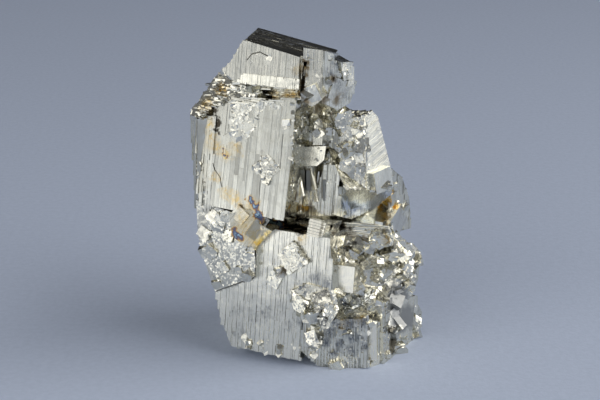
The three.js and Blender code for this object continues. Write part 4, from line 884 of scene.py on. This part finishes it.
def pyrite(mat, striated, facet=0.0, cells=1500.0):
    global nt, N, LK
    mat.use_nodes = True
    nt = mat.node_tree
    nt.nodes.clear()
    N, LK = nt.nodes.new, nt.links.new
    bsdf = node("ShaderNodeBsdfPrincipled")
    outn = node("ShaderNodeOutputMaterial")
    LK(bsdf.outputs[0], outn.inputs[0])
    tc = node("ShaderNodeTexCoord").outputs["Object"]
    geo = node("ShaderNodeNewGeometry")
    su = node("ShaderNodeAttribute", attribute_name="su").outputs["Vector"]
    rnd = node("ShaderNodeAttribute", attribute_name="rnd").outputs["Fac"]
    painted_shading = node("ShaderNodeAttribute", attribute_name="painted_shading").outputs["Fac"]
    sv = vmath("CROSS_PRODUCT", geo.outputs["True Normal"], su)
    across, along = vmath("DOT_PRODUCT", tc, su), vmath("DOT_PRODUCT", tc, sv)

    def streaks(a, b, seed, detail=2.0):
        cv = node("ShaderNodeCombineXYZ")
        LK(math_n("MULTIPLY", across, a), cv.inputs[0])
        LK(math_n("MULTIPLY", along, b), cv.inputs[1])
        LK(math_n("MULTIPLY", rnd, seed), cv.inputs[2])
        return noise(cv.outputs[0], 1.0, detail, .6)

    nv = node("ShaderNodeTexNoise")
    LK(tc, nv.inputs["Vector"])
    nv.inputs["Scale"].default_value = 650.0
    nv.inputs["Detail"].default_value = 3.0
    shifted = vmath("SUBTRACT", nv.outputs["Color"], (.5, .5, .5))
    sc_ = node("ShaderNodeVectorMath", operation="SCALE")
    LK(shifted, sc_.inputs[0])
    sc_.inputs["Scale"].default_value = .0034
    warped = vmath("ADD", tc, sc_.outputs[0])

    # mask of a list of spots: stains, painted shade and painted reflection
    def stain_and_shade(spots, wobble):
        best = None
        for c, r, k in spots:
            d = vmath("DISTANCE", warped, c)
            t = math_n("MULTIPLY_ADD", d, -k / r, k)
            best = t if best is None else math_n("MAXIMUM", best, t)
        return math_n("ADD", best, wobble)

    lines, bands = streaks(5200.0, 330.0, 31.0), streaks(1500.0, 190.0, 17.0)
    patch, fine, wide = noise(tc, 160.0, 3.0, .55), noise(tc, 1500.0, 3.0, .6), noise(tc, 70.0, 2.0, .5)
    wob = math_n("MULTIPLY_ADD", noise(tc, 900.0, 3.0, .6), .8, -.4)
    ao = node("ShaderNodeAmbientOcclusion", samples=6)
    ao.inputs["Distance"].default_value = .0011

    col = mix(mapr(patch, .35, .65, 0, 1), (.70, .69, .605), (.80, .785, .685))
    col = mix(mapr(bands, .45, .68, 0, .46), col, (.46, .45, .385))
    col = mix(mapr(rnd, 0, 1, 0, .3), col, (.84, .825, .74))
    if not striated:
        col = mix(mapr(rnd, 0, .4, .5, 0), col, (.40, .395, .36))
        col = mix(mapr(wide, .3, .6, .15, .5), col, (.86, .835, .73))
    # painted light and shade: lighter where the shading attribute is below 0, darker where it is above 0
    col = mix(mapr(painted_shading, 0, -1, 0, 1), col, (1.0, .96, .83))
    col = mix(mapr(painted_shading, 0, 1, 0, .9), col, (.13, .125, .105))
    # painted shade: darker in crevices where the AO node finds them, patchy by the wide noise
    crevice_shade = mapr(ao.outputs["AO"], .12, .6, .45, 0)
    crevice_shade = math_n("MULTIPLY", crevice_shade, mapr(wide, .35, .6, .55, 1), clamp=True)
    col = mix(crevice_shade, col, (.19, .18, .155))
    vein = mapr(math_n("ABSOLUTE", math_n("SUBTRACT", noise(tc, 520.0, 3.0, .6), .5)), 0, .07, 1, .36)
    gold = math_n("MULTIPLY", mapr(stain_and_shade(GOLD, wob), 0, .75, 0, 1), vein, clamp=True)
    col = mix(math_n("MULTIPLY", gold, .95), col, (.70, .51, .20))
    # brown tarnish and painted shade
    brown_and_shade = mapr(stain_and_shade(BROWN_AND_SHADE, wob), .1, .75, 0, .85)
    col = mix(brown_and_shade, col, (.17, .115, .05))
    mottle = mapr(streaks(2300.0, 620.0, 9.0, 3.0), .36, .60, .1, 1)
    col = mix(math_n("MULTIPLY", mapr(stain_and_shade(DARK, wob), 0, .7, 0, .95), mottle), col, (.14, .155, .175))
    col = mix(mapr(stain_and_shade(PITTED, wob), .1, .6, 0, .9), col, (.10, .092, .07))
    # rougher and painted darker: painted shade over bright reflections
    dull_and_shade = mapr(stain_and_shade(DULL_AND_SHADE, wob), 0, .5, 0, 1)
    col = mix(math_n("MULTIPLY", dull_and_shade, .9), col, (.33, .335, .33))
    col = mix(mapr(stain_and_shade(FLOOR_REFLECTION, wob), 0, .5, 0, .8), col, (.60, .65, .72))
    col = mix(mapr(stain_and_shade(OLIVE, wob), 0, .5, 0, .35), col, (.52, .47, .34))
    col = mix(mapr(stain_and_shade(YELLOW, wob), .05, .6, 0, .85), col, (.86, .66, .24))
    # painted shade of the cleft and the slot
    gap_shade = mapr(stain_and_shade(GAP_SHADE, wob), .1, .6, 0, .94)
    col = mix(gap_shade, col, (.035, .027, .016))
    amber = mapr(stain_and_shade(AMBER, wob), .1, .6, 0, .88)
    # the painted shade also takes away the reflection there, except under the amber spots
    LK(mix(math_n("SUBTRACT", gap_shade, amber, clamp=True), (1, 1, 1), (.05, .045, .035)), bsdf.inputs["Specular Tint"])
    col = mix(amber, col, (.80, .51, .10))
    film = stain_and_shade(FILM, wob)
    fr = node("ShaderNodeValToRGB")
    LK(film, fr.inputs[0])
    el = fr.color_ramp.elements
    el[0].position, el[0].color = .05, (.72, .48, .14, 1)
    el[1].position, el[1].color = .85, (.34, .50, .62, 1)
    for pos, cc in ((.22, (.42, .24, .10, 1)), (.38, (.13, .10, .14, 1)), (.55, (.04, .08, .19, 1))):
        e = el.new(pos)
        e.color = cc
    col = mix(mapr(film, .02, .14, 0, .9), col, fr.outputs[0])
    LK(col, bsdf.inputs["Base Color"])
    bsdf.inputs["Metallic"].default_value = 1.0
    if striated:
        rg = math_n("ADD", mapr(patch, .3, .7, .17, .27), mapr(lines, .3, .7, -.04, .07))
        bsdf.inputs["Anisotropic"].default_value = .65
        LK(su, bsdf.inputs["Tangent"])
    else:
        rg = math_n("ADD", mapr(patch, .3, .7, .14, .24), mapr(fine, .3, .7, -.03, .08))
    rg = math_n("ADD", rg, math_n("MAXIMUM", math_n("MULTIPLY", brown_and_shade, .15), math_n("MULTIPLY", dull_and_shade, .3)))
    LK(math_n("ADD", rg, mapr(painted_shading, 0, 1, 0, .08)), bsdf.inputs["Roughness"])
    wave = node("ShaderNodeBump")
    wave.inputs["Strength"].default_value = 1.0
    wave.inputs["Distance"].default_value = .0001
    LK(noise(tc, 230.0, 2.0, .5), wave.inputs["Height"])
    bump = node("ShaderNodeBump")
    bump.inputs["Strength"].default_value = .5
    bump.inputs["Distance"].default_value = .00003
    if striated:
        hgt = math_n("ADD", math_n("MULTIPLY", lines, .7), math_n("MULTIPLY", fine, .3))
        hgt = math_n("ADD", hgt, math_n("MULTIPLY", bands, 1.2))
    else:
        hgt = math_n("ADD", math_n("MULTIPLY", lines, .3), math_n("MULTIPLY", fine, .7))
    LK(hgt, bump.inputs["Height"])
    LK(wave.outputs[0], bump.inputs["Normal"])
    if facet:
        vor = node("ShaderNodeTexVoronoi", feature="F1", distance="CHEBYCHEV")
        vor.inputs["Scale"].default_value = cells
        LK(tc, vor.inputs["Vector"])
        tip = node("ShaderNodeVectorMath", operation="SCALE")
        LK(vmath("SUBTRACT", vor.outputs["Color"], (.5, .5, .5)), tip.inputs[0])
        LK(mapr(noise(tc, 420.0, 2.0, .5), .38, .58, facet * .3, facet), tip.inputs["Scale"])
        LK(vmath("NORMALIZE", vmath("ADD", bump.outputs[0], tip.outputs[0])), bsdf.inputs["Normal"])
    else:
        LK(bump.outputs[0], bsdf.inputs["Normal"])


pyrite(MATS[0], True)
pyrite(MATS[1], False, .16, 1300.0)
pyrite(MATS[2], False, .34, 2600.0)

# ---------------------------------------------------------------- floor, light and camera
sc = bpy.context.scene
sc.view_settings.view_transform = "Standard"
sc.view_settings.look = "None"
sc.view_settings.exposure = 0.0
sc.view_settings.gamma = 1.0

fm = bpy.data.meshes.new("floor")
fm.from_pydata([(-3, -3, 0), (3, -3, 0), (3, 3, 0), (-3, 3, 0)], [], [(0, 1, 2, 3)])
floor = bpy.data.objects.new("floor", fm)
sc.collection.objects.link(floor)
fmat = bpy.data.materials.new("floor")
fmat.use_nodes = True
fb = fmat.node_tree.nodes["Principled BSDF"]
nt = fmat.node_tree
N, LK = nt.nodes.new, nt.links.new
ftc = node("ShaderNodeTexCoord").outputs["Object"]
LK(mix(mapr(noise(ftc, 700.0, 3.0, .6), .35, .65, 0, 1), (.565, .64, .80), (.605, .68, .845)), fb.inputs["Base Color"])
fbump = node("ShaderNodeBump")
fbump.inputs["Strength"].default_value = .25
fbump.inputs["Distance"].default_value = .0002
LK(noise(ftc, 1400.0, 2.0, .6), fbump.inputs["Height"])
LK(fbump.outputs[0], fb.inputs["Normal"])
fb.inputs["Roughness"].default_value = .75
fm.materials.append(fmat)


def area(name, loc, aim, w, h, radiance, color=(1, 1, 1)):
    d = bpy.data.lights.new(name, "AREA")
    d.shape = "RECTANGLE"
    d.size, d.size_y = w, h
    d.energy = radiance * math.pi * w * h
    d.color = color
    o = bpy.data.objects.new(name, d)
    o.location = loc
    o.rotation_euler = (Vector(aim) - Vector(loc)).to_track_quat("-Z", "Y").to_euler()
    sc.collection.objects.link(o)
    return o


area("card_low", (-.215, -.32, .04), (0, 0, .04), .42, .10, .365, (1, .975, .90))
area("card_left", (-.24, -.095, .05), (0, 0, .04), .24, .11, .58, (1, .985, .94))
area("card_near", (-.098, -.115, .013), (0, 0, .012), .13, .026, .50, (1, .985, .94))
area("card_high", (-.47, -.58, .43), (0, 0, .05), .76, .47, 1.5, (1, .985, .95))
area("key_right", (.52, -.19, .33), (0, 0, .05), .78, .62, 1.45, (1, .99, .97))
sun = bpy.data.lights.new("sky_right", "SUN")
sun.angle = math.radians(58)
sun.energy = .72
sun.color = (1, .99, .97)
so = bpy.data.objects.new("sky_right", sun)
so.rotation_euler = (-Vector((.86, -.18, .46))).to_track_quat("-Z", "Y").to_euler()
sc.collection.objects.link(so)

w = bpy.data.worlds.new("studio")
sc.world = w
w.use_nodes = True
wn = w.node_tree
wn.nodes.clear()


def wnode(kind, **kw):
    n = wn.nodes.new(kind)
    for k, val in kw.items():
        setattr(n, k, val)
    return n


bg, wo = wnode("ShaderNodeBackground"), wnode("ShaderNodeOutputWorld")
wt, ws = wnode("ShaderNodeTexCoord"), wnode("ShaderNodeSeparateXYZ")
wn.links.new(wt.outputs["Generated"], ws.inputs[0])
ramp = wnode("ShaderNodeValToRGB")
wn.links.new(ws.outputs[2], ramp.inputs[0])
ramp.color_ramp.elements[0].position = .06
ramp.color_ramp.elements[0].color = (.30, .33, .39, 1)
low = ramp.color_ramp.elements.new(.0)
low.color = (.17, .19, .23, 1)
ramp.color_ramp.elements[2].position = .45
ramp.color_ramp.elements[2].color = (.15, .155, .165, 1)
back = wnode("ShaderNodeVectorMath", operation="DOT_PRODUCT")
back.inputs[1].default_value = (.05, .93, .36)
wn.links.new(wt.outputs["Generated"], back.inputs[0])
m1, m2 = wnode("ShaderNodeMapRange", interpolation_type="SMOOTHSTEP"), wnode("ShaderNodeMapRange", interpolation_type="SMOOTHSTEP")
wn.links.new(back.outputs["Value"], m1.inputs[0])
m1.inputs[1].default_value, m1.inputs[2].default_value = .62, .9
wn.links.new(ws.outputs[2], m2.inputs[0])
m2.inputs[1].default_value, m2.inputs[2].default_value = .05, .2
mm = wnode("ShaderNodeMath", operation="MULTIPLY")
wn.links.new(m1.outputs[0], mm.inputs[0])
wn.links.new(m2.outputs[0], mm.inputs[1])
wm = wnode("ShaderNodeMix", data_type="RGBA")
wn.links.new(mm.outputs[0], wm.inputs[0])
wn.links.new(ramp.outputs[0], wm.inputs[6])
wm.inputs[7].default_value = (.03, .03, .032, 1)
wn.links.new(wm.outputs[2], bg.inputs[0])
wn.links.new(bg.outputs[0], wo.inputs[0])

cam = bpy.data.cameras.new("camera")
cam.lens, cam.sensor_width, cam.sensor_fit = LENS, SENSOR, "HORIZONTAL"
cam.clip_start, cam.clip_end = .01, 50
co_ = bpy.data.objects.new("camera", cam)
co_.location = EYE * MM
co_.rotation_euler = (math.pi / 2 - ELEV, 0, 0)
sc.collection.objects.link(co_)
sc.camera = co_

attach(skin, "root")
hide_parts(NODE)
